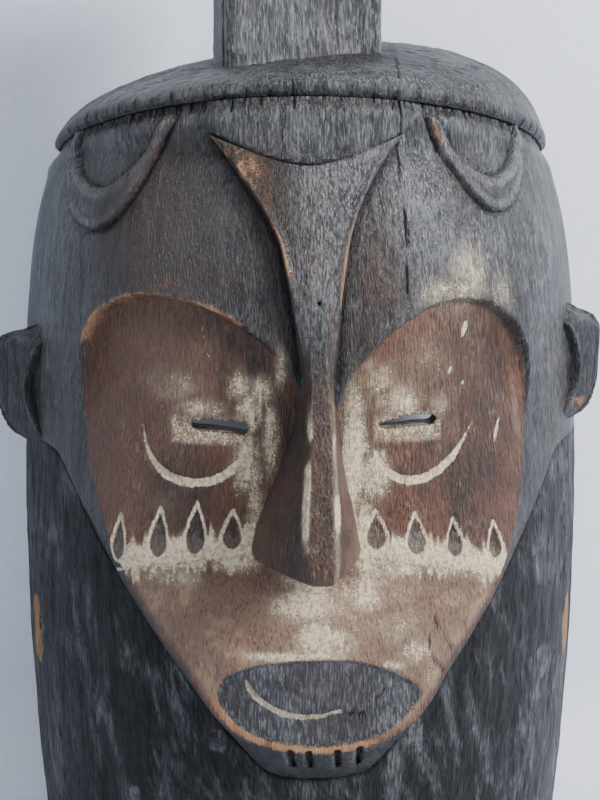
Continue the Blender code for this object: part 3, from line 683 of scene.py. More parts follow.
    def carve_arches(self):
        """The row of pointed arches on each cheek, set in ragged clay."""
        across, z = self.across, self.z
        within_arch = np.full(z.shape, -DEPTH_REACH)
        for arch in ARCHES:
            depth = depth_inside(across, z, arch_outline(*arch), 8.0)
            within_arch = np.maximum(within_arch, depth)
            self.stroke(0.55 - np.abs(depth))
        self.masks["tear"] = np.clip(within_arch - 0.4, -DEPTH_REACH, DEPTH_REACH)
        self.relief -= 0.55 * ease(within_arch, 0.1, 0.9)
        for points in CHEEK_LINES:
            line = unrolled(points)
            gap, _ = near_line(across, z, line, 30.0)
            self.stroke(0.45 - gap)
            self.relief -= 0.4 * (1.0 - ease(gap, 0.3, 0.9))
            level = np.interp(across, line[:, 0], line[:, 1])
            in_row = (across > line[0, 0] - 1.0) * (across < line[-1, 0] + 1.0) * (self.inside > 0.3)
            ragged = 3.2 * patchy(across, z, 1.7, 60.0, 21) + 2.2 * patchy(across, z, 0.8, 60.0, 22)
            above = z - level
            fill = ease(above, -0.4, 0.4) * (1.0 - ease(above, 5.5 + ragged, 11.5 + ragged))
            drips = ease(above, -3.6 + ragged, -1.6 + ragged) * (1.0 - ease(above, -0.2, 0.2))
            amount = in_row * np.maximum(0.86 * fill, 0.58 * drips)
            self.masks["clay"] = np.maximum(self.masks["clay"], amount)

    def rub_clay(self):
        """Clay washes, spots and one long scratch."""
        across, z = self.across, self.z
        wash = zones(across, z, CLAY_WASHES)
        wash *= 0.98 + 0.42 * layered(across, z, 8.0, 11.0, 31)
        wash *= 1.0 - ease(self.masks["mouth"], -0.6, 0.4)
        self.masks["clay"] = np.maximum(self.masks["clay"], wash)
        for angle, height, wide, tall in CLAY_SPOTS:
            u = math.radians(angle) * UNROLL + 0.35 * (z - height)
            self.stroke(1.1 - 1.1 * np.hypot((across - u) / wide, (z - height) / tall))
        gap, _ = near_line(across, z, unrolled(SCRATCH), 4.0)
        self.stroke(0.02 - gap)
        # The lower cheeks are paler, rubbed with a thin film of clay
        film = self.masks["dust"]
        film = np.maximum(film, 0.92 * ease(self.inside, 0.0, 4.0) * (1.0 - ease(z, 128.0, 142.0)))
        lobes = 0.30 * bell(across, 40.0, 26.0) * bell(z, 200.0, 22.0)
        lobes += 0.22 * bell(across, -42.0, 26.0) * bell(z, 208.0, 14.0)
        film = np.maximum(film, lobes * ease(self.inside, 0.0, 3.0))
        self.masks["dust"] = film

    def carve_curls(self):
        """The raised crescent bands at the temples."""
        across, z = self.across, self.z
        for number, (outer, inner) in enumerate(zip(CURLS_OUTER, CURLS_INNER)):
            outer_line, inner_line = unrolled(outer), unrolled(inner)
            outer_gap, _ = near_line(across, z, outer_line, 14.0)
            inner_gap, _ = near_line(across, z, inner_line, 14.0)
            band = within(across, z, np.concatenate([outer_line, inner_line[::-1]]))
            rise = np.minimum(outer_gap, inner_gap) * np.where(band, 1.0, -1.0)
            self.relief += 1.7 * ease(rise, -0.6, 1.2)
            beside = (rise < 0.0) * 1.0
            self.relief -= 0.8 * bell(outer_gap, 0.3, 1.0) * beside
            self.relief -= 0.7 * bell(inner_gap, 0.3, 0.9) * beside
            sooty = ease(patchy(across, z, 6.0, 6.0, 42), -0.7, 0.2)
            self.darken(0.85 * bell(outer_gap, 0.2, 0.7) * beside * sooty)
            self.darken(0.80 * bell(inner_gap, 0.2, 0.6) * beside)
            # The lit outer flank is a painted highlight laid as bare worn wood
            flank = bell(rise, 1.6, 1.9) * (outer_gap < inner_gap)
            lit = flank * ease(-across if number else across, -62.0, -48.0)
            lit *= ease(patchy(across, z, 7.0, 9.0, 41), -0.5, 0.5)
            self.masks["bare"] = np.maximum(self.masks["bare"], 0.62 * lit)
            # Painted highlights along the band's crest and inner edge, laid as dust
            dust_and_sheen = np.maximum(0.7 * bell(inner_gap, 0.8, 0.7), 0.8 * bell(rise, 2.4, 1.6))
            self.masks["dust"] = np.maximum(self.masks["dust"], dust_and_sheen)

    def carve_brow_band(self):
        """The raised band between the hair line and the brim, and the groove round the shield."""
        across, z = self.across, self.z
        line = unrolled(HAIR_LINE)
        level = np.interp(across, line[:, 0], line[:, 1])
        spread = 1.0 - ease(np.abs(self.angle + 0.7), 17.0, 24.0)
        self.relief += 2.6 * ease(z - level, -0.4, 1.8) * spread
        # Painted highlight along the edge of the raised band at the hair line, laid as dust
        self.masks["dust"] = np.maximum(self.masks["dust"], 0.55 * bell(z - level, 0.9, 0.9) * spread)
        left = profile(z, [(row[0], row[1]) for row in NOSE_SIDES])
        right = profile(z, [(row[0], row[2]) for row in NOSE_SIDES])
        beside = np.minimum(np.abs(self.angle - left), np.abs(self.angle - right))
        beside *= math.radians(1.0) * UNROLL
        tall = ease(z, 192.0, 202.0) * (1.0 - ease(z - level, -2.0, 0.0))
        self.relief -= 1.3 * bell(beside, 0.0, 1.5) * tall
        # Painted shade in the groove round the shield, laid as soot
        self.darken(0.75 * bell(beside, 0.0, 0.9) * tall)

    def carve_brim_nicks(self):
        """Chisel nicks under the brim, where the crown's edge was cut free."""
        across, z = self.across, self.z
        below = brim_line(self.angle) - z
        place = across + 1.3 * patchy(across, 0.0 * z, 7.0, 10.0, 51)
        for pitch, deep, turn in ((3.1, 0.9, 0.0), (4.7, 0.7, 1.7)):
            number = np.floor(place / pitch)
            tooth = np.abs((place / pitch) % 1.0 - 0.5) * pitch + 0.06 * below
            length = 3.4 + 3.0 * uneven(number, turn)
            nick = (1.0 - ease(tooth, 0.15, 0.75)) * (1.0 - ease(below, length * 0.6, length + 0.5))
            nick *= (1.0 - ease(np.abs(self.off), 64.0, 74.0)) * chosen(number, -0.2, turn)
            self.relief -= deep * nick
            self.darken(0.85 * nick)
            flake = nick * chosen(number, 0.90, turn, FLAKE_RATE)
            self.masks["bare"] = np.maximum(self.masks["bare"], 0.8 * flake)
        self.relief -= 1.1 * (1.0 - ease(below, 0.4, 3.8))
        self.relief += 0.7 * bell(below, 6.0, 2.6) * (0.6 + 0.6 * patchy(across, z, 9.0, 20.0, 52))
        self.masks["dust"] = np.maximum(self.masks["dust"], 0.5 * bell(below, 5.5, 3.0))

    def open_cracks(self):
        """Cracks of age."""
        across, z = self.across, self.z
        cracks = ((AGE_CRACK, 0.16, 0.8), (CHEEK_CRACKS[0], 0.14, 0.5), (CHEEK_CRACKS[1], 0.25, 0.7))
        for points, width, deep in cracks:
            gap, along = near_line(across, z, unrolled(points), 4.0)
            gap = gap + 0.3 * patchy(across, z, 1.2, 5.0, 61)
            crack = (1.0 - ease(gap, width * 0.5, width * 2.4)) * (1.0 - ease(along, 0.90, 1.0))
            self.relief -= deep * crack
            self.darken(0.9 * crack)

    def tool_marks(self, carving):
        """Long shallow facets and raised fibres left by the knife."""
        across, z = self.across, self.z
        fibres = patchy(across, z, 0.9, 16.0, 72) + 0.6 * patchy(across, z, 0.55, 9.0, 73)
        rough = 1.0 - 0.5 * ease(self.masks["face"], -0.5, 0.5)
        self.relief += carving.facet_depth / MM * layered(across, z, 8.0, 26.0, 71) * rough + 0.05 * fibres
        self.masks["warm"] = zones(across, z, WARM_ZONES)
        # These zones also paint satin highlights on the head's sides and right forehead
        self.masks["dust"] = np.maximum(self.masks["dust"], zones(across, z, DUST_AND_SHEEN_ZONES))
        soot = zones(across, z, SOOTY_ZONES) * ease(layered(across, z, 6.0, 14.0, 74), -0.6, 0.3)
        self.darken(soot)


class MASK_OT_head(bpy.types.Operator):
    """Carve the head: brow arches, eye slits, cheek marks, muzzle, mouth and jaw"""

    bl_idname = "mask.head"
    bl_label = "Head and face"

    def execute(self, context):
        carving = context.scene.mask_carving
        detail = 1.0 / carving.fineness
        rows = int(218 * carving.fineness)
        angle, z = log_grid(0.35 * detail, 0.9 * detail, 55.0, rows, head_foot, head_top)
        carver = Carver(angle, z)
        carver.carve_heart()
        carver.carve_eyes()
        carver.carve_arches()
        carver.carve_mouth()
        carver.carve_chin()
        carver.carve_curls()
        carver.carve_brow_band()
        carver.carve_brim_nicks()
        carver.rub_clay()
        carver.open_cracks()
        carver.tool_marks(carving)
        masks = carver.masks
        masks["stroke"] = np.maximum(masks["stroke"], carver.smile)
        outer = around(carver.base + carver.relief, angle, z)
        inner, inner_masks = hollow_grid(55.0, 60, head_foot, head_top, carving)
        piece = wall_piece("carved_head", "head_shell", face_wood(context), outer, masks, inner, inner_masks)
        cut_away(piece, [eye_tool(points) for points in EYES])
        return {"FINISHED"}


def head_foot(angle):
    """Height of the head's lower edge."""
    return jaw_line(angle) + SEAM_GAP


def head_top(angle):
    """Height of the head's upper edge."""
    return brim_line(angle) - SEAM_GAP


def hollow_grid(fine_half_angle, rows, low_line, high_line, carving):
    """Points and masks over a hollowed inside, scalloped by the gouge."""
    angle, z = log_grid(1.6, 2.4, fine_half_angle, rows, low_line, high_line, WALL)
    across = np.radians(angle) * (UNROLL - WALL)
    step = 0.5 * (np.floor(across / GOUGE_WIDTH) % 2)
    scallop = 0.5 * np.cos(2.0 * np.pi * across / GOUGE_WIDTH)
    scallop += 0.5 * np.cos(2.0 * np.pi * (z / GOUGE_LENGTH + step))
    scallop = 0.5 + 0.5 * np.clip(scallop + layered(across, z, 9.0, 14.0, 81), -1.0, 1.0)
    radius = log_radius(z) - WALL - carving.gouge_depth / MM * scallop
    return around(radius, angle, z), {"raw": np.ones(angle.shape)}


def eye_tool(points):
    """A prism that cuts an eye's wedge straight through the wall."""
    outline = curve(points + points[:1], 4)[:-1]
    reach = face_radius(outline[:, 0], outline[:, 1])
    x = reach * np.sin(np.radians(outline[:, 0])) * MM
    z = outline[:, 1] * MM
    surface = AXIS_Y * MM - reach.mean() * MM * math.cos(math.radians(outline[:, 0].mean()))
    bm = bmesh.new()
    front = [bm.verts.new((px, surface - EYE_TOOL_FRONT, pz)) for px, pz in zip(x, z)]
    back = [bm.verts.new((px, surface + EYE_TOOL_BACK, pz + EYE_TOOL_RISE)) for px, pz in zip(x, z)]
    bm.faces.new(front)
    bm.faces.new(back[::-1])
    for k in range(len(front)):
        after = (k + 1) % len(front)
        bm.faces.new((front[k], back[k], back[after], front[after]))
    bmesh.ops.recalc_face_normals(bm, faces=bm.faces)
    return tool_object("eye_wedge", bm)


def tool_object(name, bm):
    """A bmesh as an object for cutting with."""
    mesh = bpy.data.meshes.new(name)
    bm.to_mesh(mesh)
    bm.free()
    tool = bpy.data.objects.new(name, mesh)
    bpy.context.scene.collection.objects.link(tool)
    return tool


# --- Node groups ------------------------------------------------------------------------


class Wiring:
    """Adds nodes to a tree and links them, with few words."""

    def __init__(self, tree):
        """Works in a material's or a group's node tree."""
        self.tree = tree

    def add(self, kind, inputs=None, **settings):
        """A node whose inputs are values or other nodes' outputs."""
        node = self.tree.nodes.new(kind)
        for name, value in settings.items():
            setattr(node, name, value)
        for socket, value in (inputs or {}).items():
            if isinstance(value, bpy.types.NodeSocket):
                self.tree.links.new(value, node.inputs[socket])
            else:
                node.inputs[socket].default_value = value
        return node

    def math(self, operation, a, b=0.0, clamp=False):
        """One sum."""
        node = self.add("ShaderNodeMath", {0: a, 1: b}, operation=operation, use_clamp=clamp)
        return node.outputs[0]

    def times(self, *values):
        """Several values multiplied."""
        total = values[0]
        for value in values[1:]:
            total = self.math("MULTIPLY", total, value)
        return total

    def plus(self, *values):
        """Several values added."""
        total = values[0]
        for value in values[1:]:
            total = self.math("ADD", total, value)
        return total

    def blend(self, share, a, b):
        """Two colours mixed by a share."""
        node = self.add("ShaderNodeMix", data_type="RGBA")
        for socket, value in ((0, share), (6, a), (7, b)):
            if isinstance(value, bpy.types.NodeSocket):
                self.tree.links.new(value, node.inputs[socket])
            elif socket == 0:
                node.inputs[0].default_value = value
            else:
                node.inputs[socket].default_value = (*value, 1.0)
        return node.outputs[2]

    def ramp(self, value, low, high, out_low=0.0, out_high=1.0):
        """A clamped smooth change from one value to another."""
        node = self.add(
            "ShaderNodeMapRange",
            {"Value": value, "From Min": low, "From Max": high, "To Min": out_low, "To Max": out_high},
            interpolation_type="SMOOTHSTEP",
        )
        return node.outputs["Result"]

    def noise(self, place, scale, detail=3.0, rough=0.55):
        """Fractal noise at a place."""
        inputs = {"Vector": place, "Scale": scale, "Detail": detail, "Roughness": rough}
        return self.add("ShaderNodeTexNoise", inputs).outputs["Fac"]

    def zoomed(self, place, scale):
        """A place multiplied by one number."""
        node = self.add("ShaderNodeVectorMath", {0: place, "Scale": scale}, operation="SCALE")
        return node.outputs[0]

    def scaled(self, place, size):
        """A place with its three directions multiplied."""
        node = self.add("ShaderNodeVectorMath", {0: place, 1: size}, operation="MULTIPLY")
        return node.outputs[0]

    def mask(self, name):
        """A mask that the carving left on the piece."""
        return self.add("ShaderNodeAttribute", attribute_name=name).outputs["Fac"]

    def use(self, name, build, inputs):
        """Places a shared node group."""
        found = bpy.data.node_groups.get(name)
        group = found if found is not None else build(name)
        return self.add("ShaderNodeGroup", inputs, node_tree=group).outputs


def new_group(name, inputs, outputs):
    """An empty node group with its sockets, and its wiring."""
    group = bpy.data.node_groups.new(name, "ShaderNodeTree")
    place = group.interface.new_socket("Place", in_out="INPUT", socket_type="NodeSocketVector")
    place.description = "Where on the piece"
    for label, value in inputs.items():
        socket = group.interface.new_socket(label, in_out="INPUT", socket_type="NodeSocketFloat")
        socket.default_value = value
    for label in outputs:
        group.interface.new_socket(label, in_out="OUTPUT", socket_type="NodeSocketFloat")
    wiring = Wiring(group)
    entry = wiring.add("NodeGroupInput").outputs
    leave = wiring.add("NodeGroupOutput").inputs
    return group, wiring, entry, leave


FIBRE_SWAY = 0.006           # metres by which the fibres swing from side to side


def fibre_group(name):
    """Upright wood fibres: broad streaks, hair-fine flecks, and their height."""
    group, w, entry, leave = new_group(name, {"Scale": 1.0}, ("Streaks", "Flecks", "Pores", "Height"))
    place = w.zoomed(entry["Place"], entry["Scale"])
    sway = w.math("SUBTRACT", w.noise(w.scaled(place, (1.0, 1.0, 0.3)), 25.0, 1.0), 0.5)
    sideways = w.add("ShaderNodeCombineXYZ", {0: w.math("MULTIPLY", sway, FIBRE_SWAY)}).outputs[0]
    bent = w.add("ShaderNodeVectorMath", {0: place, 1: sideways}, operation="ADD").outputs[0]
    streaks = w.ramp(w.noise(w.scaled(bent, (1.0, 1.0, 0.05)), 420.0, 3.0, 0.6), 0.36, 0.66)
    fine = w.noise(w.scaled(bent, (1.0, 1.0, 0.16)), 1700.0, 3.0, 0.65)
    flecks = w.ramp(fine, 0.50, 0.64)
    pores = w.ramp(fine, 0.36, 0.48, 1.0, 0.0)
    w.tree.links.new(streaks, leave["Streaks"])
    w.tree.links.new(flecks, leave["Flecks"])
    w.tree.links.new(pores, leave["Pores"])
    height = w.plus(w.times(streaks, 0.45), w.times(flecks, 0.35), w.times(pores, -0.45))
    w.tree.links.new(height, leave["Height"])
    return group


def coverage_group(name):
    """A wash that breaks into crumbs and streaks as it thins out."""
    group, w, entry, leave = new_group(name, {"Amount": 0.0, "Softness": 0.07}, ("Coverage",))
    crumbs = w.noise(entry["Place"], 1500.0, 3.0, 0.7)
    blots = w.noise(entry["Place"], 260.0, 3.0, 0.65)
    runs = w.noise(w.scaled(entry["Place"], (1.0, 1.0, 0.12)), 700.0, 2.0, 0.6)
    broken = w.plus(w.times(crumbs, 0.48), w.times(blots, 0.28), w.times(runs, 0.24))
    gain = w.plus(entry["Amount"], w.math("MULTIPLY", w.math("SUBTRACT", broken, 0.5), 2.5))
    low = w.math("SUBTRACT", 0.5, entry["Softness"])
    high = w.math("ADD", 0.5, entry["Softness"])
    w.tree.links.new(w.ramp(gain, low, high), leave["Coverage"])
    return group


def edge_group(name):
    """The inside of a line from its depth in millimetres, with a ragged edge."""
    group, w, entry, leave = new_group(
        name, {"Depth": -DEPTH_REACH, "Ragged": 0.5, "Softness": 0.16}, ("Inside",)
    )
    fine = w.noise(entry["Place"], 1500.0, 2.0, 0.6)
    wide = w.noise(entry["Place"], 420.0, 2.0, 0.6)
    shake = w.math("SUBTRACT", w.plus(w.times(fine, 0.5), w.times(wide, 0.5)), 0.5)
    depth = w.plus(entry["Depth"], w.times(shake, entry["Ragged"], 4.0))
    low = w.math("MULTIPLY", entry["Softness"], -1.0)
    w.tree.links.new(w.ramp(depth, low, entry["Softness"]), leave["Inside"])
    return group


def patina_group(name):
    """Slow changes of tone, patches of dust, and slanting scuffs."""
    group, w, entry, leave = new_group(name, {"Scale": 1.0}, ("Tone", "Dust", "Scuffs"))
    place = w.zoomed(entry["Place"], entry["Scale"])
    tone = w.ramp(w.noise(w.scaled(place, (1.0, 1.0, 0.55)), 26.0, 4.0, 0.6), 0.34, 0.66)
    dust = w.ramp(w.noise(place, 85.0, 5.0, 0.72), 0.46, 0.70)
    turned = w.add("ShaderNodeMapping", {"Vector": place, "Rotation": (0.0, 0.30, 0.0)}).outputs[0]
    scuffs = w.noise(w.scaled(turned, (1.0, 1.0, 0.30)), 100.0, 5.0, 0.72)
    w.tree.links.new(tone, leave["Tone"])
    w.tree.links.new(dust, leave["Dust"])
    w.tree.links.new(w.ramp(scuffs, 0.48, 0.68), leave["Scuffs"])
    return group


# --- Materials --------------------------------------------------------------------------


def new_material(name, colour):
    """A material with its wiring, its shader and the surface's own coordinates."""
    material = bpy.data.materials.new(name)
    material.use_nodes = True
    material.diffuse_color = (*colour, 1.0)
    w = Wiring(material.node_tree)
    shader = material.node_tree.nodes["Principled BSDF"]
    place = w.add("ShaderNodeTexCoord").outputs["Object"]
    return material, w, shader, place


def finish_shader(w, shader, colour, roughness, height, depth, specular):
    """Feeds the shader its changing colour, roughness and bump."""
    w.tree.links.new(colour, shader.inputs["Base Color"])
    w.tree.links.new(roughness, shader.inputs["Roughness"])
    shader.inputs["Specular IOR Level"].default_value = specular
    bump = w.add("ShaderNodeBump", {"Height": height, "Distance": depth, "Strength": 1.0})
    w.tree.links.new(bump.outputs["Normal"], shader.inputs["Normal"])


def blackened(w, finish, look, fibre, patina):
    """Blackened wood: sooty, grey where dust lies and where the dust mask paints sheen and highlights, brown
    where hands have rubbed it.
    """
    bloom, worn = tuple(finish.grey_bloom_and_sheen), tuple(finish.worn_brown)
    streaks, flecks = fibre["Streaks"], fibre["Flecks"]
    tone, dust, scuffs = patina["Tone"], patina["Dust"], patina["Scuffs"]
    dust_and_sheen, rubbed = w.mask("dust"), w.mask("warm")
    lift = w.plus(w.times(streaks, 0.10), w.times(flecks, 0.22), w.times(tone, 0.06))
    lift = w.times(lift, look["bloom"], w.plus(w.times(dust_and_sheen, 1.5), 0.45))
    colour = w.blend(w.math("MINIMUM", lift, 1.0), tuple(finish.black_wood), bloom)
    # Grey bloom where the dust mask is high: real dust, and painted sheen and highlights
    colour = w.blend(w.times(w.ramp(dust_and_sheen, 0.15, 0.9), dust, 0.55), colour, bloom)
    colour = w.blend(w.times(scuffs, look["scuffs"], w.plus(w.times(flecks, 0.45), 0.55)), colour, bloom)
    warm = w.times(rubbed, w.plus(w.times(streaks, 0.5), w.times(tone, 0.6), 0.2))
    colour = w.blend(warm, colour, tuple(finish.warm_black))
    sparks = w.times(rubbed, w.ramp(w.times(w.plus(flecks, 0.5), dust), 0.45, 0.9))
    colour = w.blend(sparks, colour, worn)
    return w.blend(w.times(w.ramp(tone, 0.55, 0.95), streaks, look["brown"]), colour, worn)


def browned(w, finish, fibre, patina):
    """The brown wood of the face, paler where clay has been rubbed thin over it."""
    streaks, flecks = fibre["Streaks"], fibre["Flecks"]
    tone, dust = patina["Tone"], patina["Dust"]
    colour = w.blend(w.ramp(tone, 0.15, 0.85), tuple(finish.face_dark), tuple(finish.face_brown))
    colour = w.blend(w.times(streaks, 0.30), colour, tuple(finish.face_red))
    film = w.times(w.mask("dust"), w.plus(w.times(dust, 0.55), 0.45))
    colour = w.blend(film, colour, tuple(finish.face_pale))
    return w.blend(w.times(flecks, w.plus(w.times(dust, 0.26), 0.05)), colour, tuple(finish.clay_shade))


def inside_line(w, place, mask, ragged, softness):
    """How far each point is inside an outline that the carving left as a depth."""
    inputs = {"Place": place, "Depth": w.mask(mask), "Ragged": ragged, "Softness": softness}
    return w.use("Ragged edge", edge_group, inputs)["Inside"]


def broken_cover(w, place, amount, softness):
    """How far a thin wash covers each point."""
    inputs = {"Place": place, "Amount": amount, "Softness": softness}
    return w.use("Broken coverage", coverage_group, inputs)["Coverage"]


def worn_bare(w, place, finish, fibre, patina, colour):
    """Lays bare worn wood over a colour."""
    amount = w.mask("bare")
    bare = w.times(broken_cover(w, place, amount, 0.22), w.ramp(amount, 0.03, 0.30))
    share = w.plus(w.times(fibre["Streaks"], 0.5), w.times(patina["Tone"], 0.5))
    return w.blend(bare, colour, w.blend(share, tuple(finish.worn_brown), tuple(finish.bare_wood)))


def clay_cover(w, place, patina, beds, mouth):
    """How far clay covers each point: thin veils, broken washes and drawn lines."""
    amount = w.mask("clay")
    clear = w.math("SUBTRACT", 1.0, w.times(beds, 0.9))
    wash = w.times(broken_cover(w, place, amount, 0.13), w.ramp(amount, 0.05, 0.28), clear)
    veil = w.times(w.ramp(amount, 0.04, 0.8), w.plus(w.times(patina["Dust"], 0.36), 0.34), clear)
    line = inside_line(w, place, "stroke", 0.55, 0.22)
    line = w.times(line, w.plus(w.times(w.noise(place, 700.0, 2.0), 0.9), 0.42))
    line = w.times(line, w.math("SUBTRACT", 1.0, w.times(mouth, 0.42)))
    return w.math("MAXIMUM", w.math("MAXIMUM", w.times(wash, 0.82), veil), w.math("MINIMUM", line, 0.92))


def carved_wood(context, name, look):
    """Blackened or brown wood, with the clay, wear, soot and dust that the carving marked."""
    finish = context.scene.mask_finish
    bloom = tuple(finish.grey_bloom_and_sheen)
    material, w, shader, place = new_material(name, tuple(finish.black_wood))
    fibre = w.use("Wood fibres", fibre_group, {"Place": place, "Scale": look["grain"]})
    patina = w.use("Patina", patina_group, {"Place": place, "Scale": 1.0})
    streaks, flecks = fibre["Streaks"], fibre["Flecks"]
    tone, dust = patina["Tone"], patina["Dust"]

    colour = blackened(w, finish, look, fibre, patina)
    face = inside_line(w, place, "face", 0.35, 0.55)
    colour = w.blend(face, colour, browned(w, finish, fibre, patina))

    # The muzzle's grey end and the dark beds of the cheek arches
    mouth = inside_line(w, place, "mouth", 0.45, 0.5)
    grey = w.blend(w.plus(w.times(flecks, 0.50), w.times(dust, 0.34), 0.06), tuple(finish.mouth_dark), bloom)
    grey = w.blend(w.times(w.ramp(tone, 0.4, 0.9), 0.35), grey, tuple(finish.face_dark))
    colour = w.blend(mouth, colour, grey)
    beds = inside_line(w, place, "tear", 0.3, 0.3)
    bed = w.blend(w.plus(w.times(flecks, 0.3), w.times(dust, 0.3)), tuple(finish.face_dark), bloom)
    colour = w.blend(w.times(beds, 0.75), colour, bed)

    # Open pores, dark all over, then bare worn wood
    colour = w.blend(w.times(fibre["Pores"], look["pores"]), colour, tuple(finish.soot))
    colour = worn_bare(w, place, finish, fibre, patina, colour)

    cover = clay_cover(w, place, patina, beds, mouth)
    soiled = w.ramp(w.noise(place, 620.0, 5.0, 0.75), 0.36, 0.60)
    colour = w.blend(cover, colour, w.blend(soiled, tuple(finish.clay_shade), tuple(finish.clay)))

    # Soot in the cuts, and raw wood in the hollow
    colour = w.blend(w.times(w.mask("cut"), 0.93), colour, tuple(finish.soot))
    raw = w.mask("raw")
    raw_tone = w.blend(streaks, tuple(finish.inside_dark), tuple(finish.inside_light))
    raw_tone = w.blend(w.times(dust, 0.35), raw_tone, bloom)
    colour = w.blend(raw, colour, raw_tone)

    rough = w.plus(w.times(flecks, 0.14), w.times(dust, 0.14), w.times(tone, -0.06), look["rough"])
    rough = w.math("ADD", rough, w.times(cover, 0.34))
    rough = w.math("ADD", rough, w.times(raw, 0.28), clamp=True)
    height = w.plus(fibre["Height"], w.times(cover, 0.55), w.times(dust, 0.25))
    finish_shader(w, shader, colour, rough, height, look["bump"], look["shine"])
    return material


# Each wood's own grain size, bloom, scuffs, brown streaks, roughness, bump depth in metres,
# open pores and shine
LOOKS = {
    "Face wood": {"grain": 1.0, "bloom": 1.7, "scuffs": 0.22, "brown": 0.10, "rough": 0.35, "bump": 0.00048,
                  "pores": 0.45, "shine": 0.30},
    "Trunk wood": {"grain": 0.8, "bloom": 0.50, "scuffs": 0.52, "brown": 0.0, "rough": 0.45, "bump": 0.00045,
                   "pores": 0.6, "shine": 0.10},
    "Dome wood": {"grain": 0.9, "bloom": 1.9, "scuffs": 0.30, "brown": 0.06, "rough": 0.40, "bump": 0.00056,
                  "pores": 0.5, "shine": 0.28},
    "Ear wood": {"grain": 0.9, "bloom": 0.9, "scuffs": 0.30, "brown": 0.06, "rough": 0.45, "bump": 0.00040,
                 "pores": 0.5, "shine": 0.20},
    "Crest wood": {"grain": 0.9, "bloom": 2.6, "scuffs": 0.55, "brown": 0.06, "rough": 0.55,
                   "bump": 0.00050, "pores": 0.35, "shine": 0.30},
    "Nose wood": {"grain": 1.0, "bloom": 1.7, "scuffs": 0.10, "brown": 0.25, "rough": 0.32, "bump": 0.00044,
                  "pores": 0.5, "shine": 0.34},
}


def shared_wood(context, name):
    """One of the carved woods, made the first time that it is asked for."""
    found = bpy.data.materials.get(name)
    return found if found is not None else carved_wood(context, name, LOOKS[name])


def face_wood(context):
    """The head's wood."""
    return shared_wood(context, "Face wood")


def peg_wood(context):
    """Bare whittled pegs, with end grain."""
    finish = context.scene.mask_finish
    material, w, shader, place = new_material("Peg wood", tuple(finish.bare_wood))
    fibre = w.use("Wood fibres", fibre_group, {"Place": place, "Scale": 1.4})
    patina = w.use("Patina", patina_group, {"Place": place, "Scale": 4.0})
    colour = w.blend(fibre["Streaks"], tuple(finish.worn_brown), tuple(finish.bare_wood))
    colour = w.blend(w.times(patina["Dust"], 0.5), colour, tuple(finish.inside_dark))
    rough = w.plus(w.times(fibre["Flecks"], 0.2), 0.6)
    finish_shader(w, shader, colour, rough, fibre["Height"], depth=0.00015, specular=0.3)
    return material


# --- Trunk ------------------------------------------------------------------------------

# The two oval holes for a costume's cord: how far in front of the log's axis, height, and
# half sizes in metres
TIE_HOLE_FORWARD = 40.0
TIE_HOLE_Z = 96.5
TIE_HOLE_HALVES = (0.0060, 0.00425)
TIE_HOLE_LENGTH = 0.050


def trunk_foot(angle):
    """Height of the trunk's lower edge."""
    return np.zeros_like(angle)


def trunk_top(angle):
    """Height of the trunk's upper edge."""
    return jaw_line(angle) - SEAM_GAP


def trunk_relief(angle, z, carving):
    """Radius and masks over the trunk's outside: long adze cuts and open grain."""
    across = np.radians(angle) * UNROLL
    wander = across + 3.0 * patchy(across, z, 30.0, 90.0, 101)
    facets = layered(wander, z, 9.0, 60.0, 102)
    chops = patchy(wander, z, 3.2, 13.0, 103)
    open_grain = np.abs(patchy(wander, z, 1.7, 12.0, 104)) + 0.7 * np.abs(patchy(wander, z, 1.0, 7.0, 105))
    relief = carving.adze_depth / MM * (1.1 * facets + 0.5 * chops)
    relief -= 0.26 * ease(open_grain, 0.45, 1.0)
    masks = {"cut": 0.35 * ease(open_grain, 0.7, 1.2)}
    to_jaw = jaw_line(angle) - z
    front = np.abs(angle) < 58.0
    # A shallow groove under the jaw, darkened with painted shadow where the face overhangs the trunk
    relief -= 0.9 * (1.0 - ease(to_jaw, 0.0, 1.8)) * front
    masks["cut"] = np.maximum(masks["cut"], 0.6 * (1.0 - ease(to_jaw, 0.0, 3.0)) * front)
    rubbed = layered(across, z, 16.0, 26.0, 107) > 0.35
    # The grey strips at the trunk's sides are painted sheen; the random rubbed patches are dust
    masks["dust"] = np.maximum(0.45 * bell(np.abs(angle), 62.0, 14.0), 0.8 * rubbed)
    bare = np.zeros(angle.shape)
    worn_hole = np.ones(angle.shape)
    radius = log_radius(z)
    side = radius * np.cos(np.radians(angle))
    for sign in (-1.0, 1.0):
        ring = np.hypot((side - TIE_HOLE_FORWARD) / 6.4, (z - TIE_HOLE_Z) / 12.5)
        ring += 10.0 * (angle * sign < 0.0)
        worn = ring + 0.10 * patchy(across, z, 3.0, 5.0, 106)
        bare = np.maximum(bare, 1.0 - ease(worn, 0.90, 1.08))
        worn_hole = np.minimum(worn_hole, ring)
        relief -= 1.8 * (1.0 - ease(ring, 0.45, 1.05))
    masks["bare"] = bare * 1.3
    masks["cut"] = np.maximum(masks["cut"] * (1.0 - bare), 1.0 - ease(worn_hole, 0.42, 0.60))
    return radius + relief, masks


def tie_bore(side):
    """A tool that cuts an oval side hole."""
    bm = bmesh.new()
    bmesh.ops.create_cone(bm, cap_ends=True, segments=40, radius1=1.0, radius2=1.0, depth=1.0)
    bmesh.ops.scale(bm, verts=bm.verts, vec=(*TIE_HOLE_HALVES, TIE_HOLE_LENGTH))
    bmesh.ops.rotate(bm, verts=bm.verts, matrix=Matrix.Rotation(math.pi / 2.0, 3, "Y"))
    surface = math.sqrt(float(log_radius(TIE_HOLE_Z)) ** 2 - TIE_HOLE_FORWARD**2)
    place = (side * surface * MM, (AXIS_Y - TIE_HOLE_FORWARD) * MM, TIE_HOLE_Z * MM)
    bmesh.ops.translate(bm, verts=bm.verts, vec=place)
    return tool_object("tie_bore", bm)


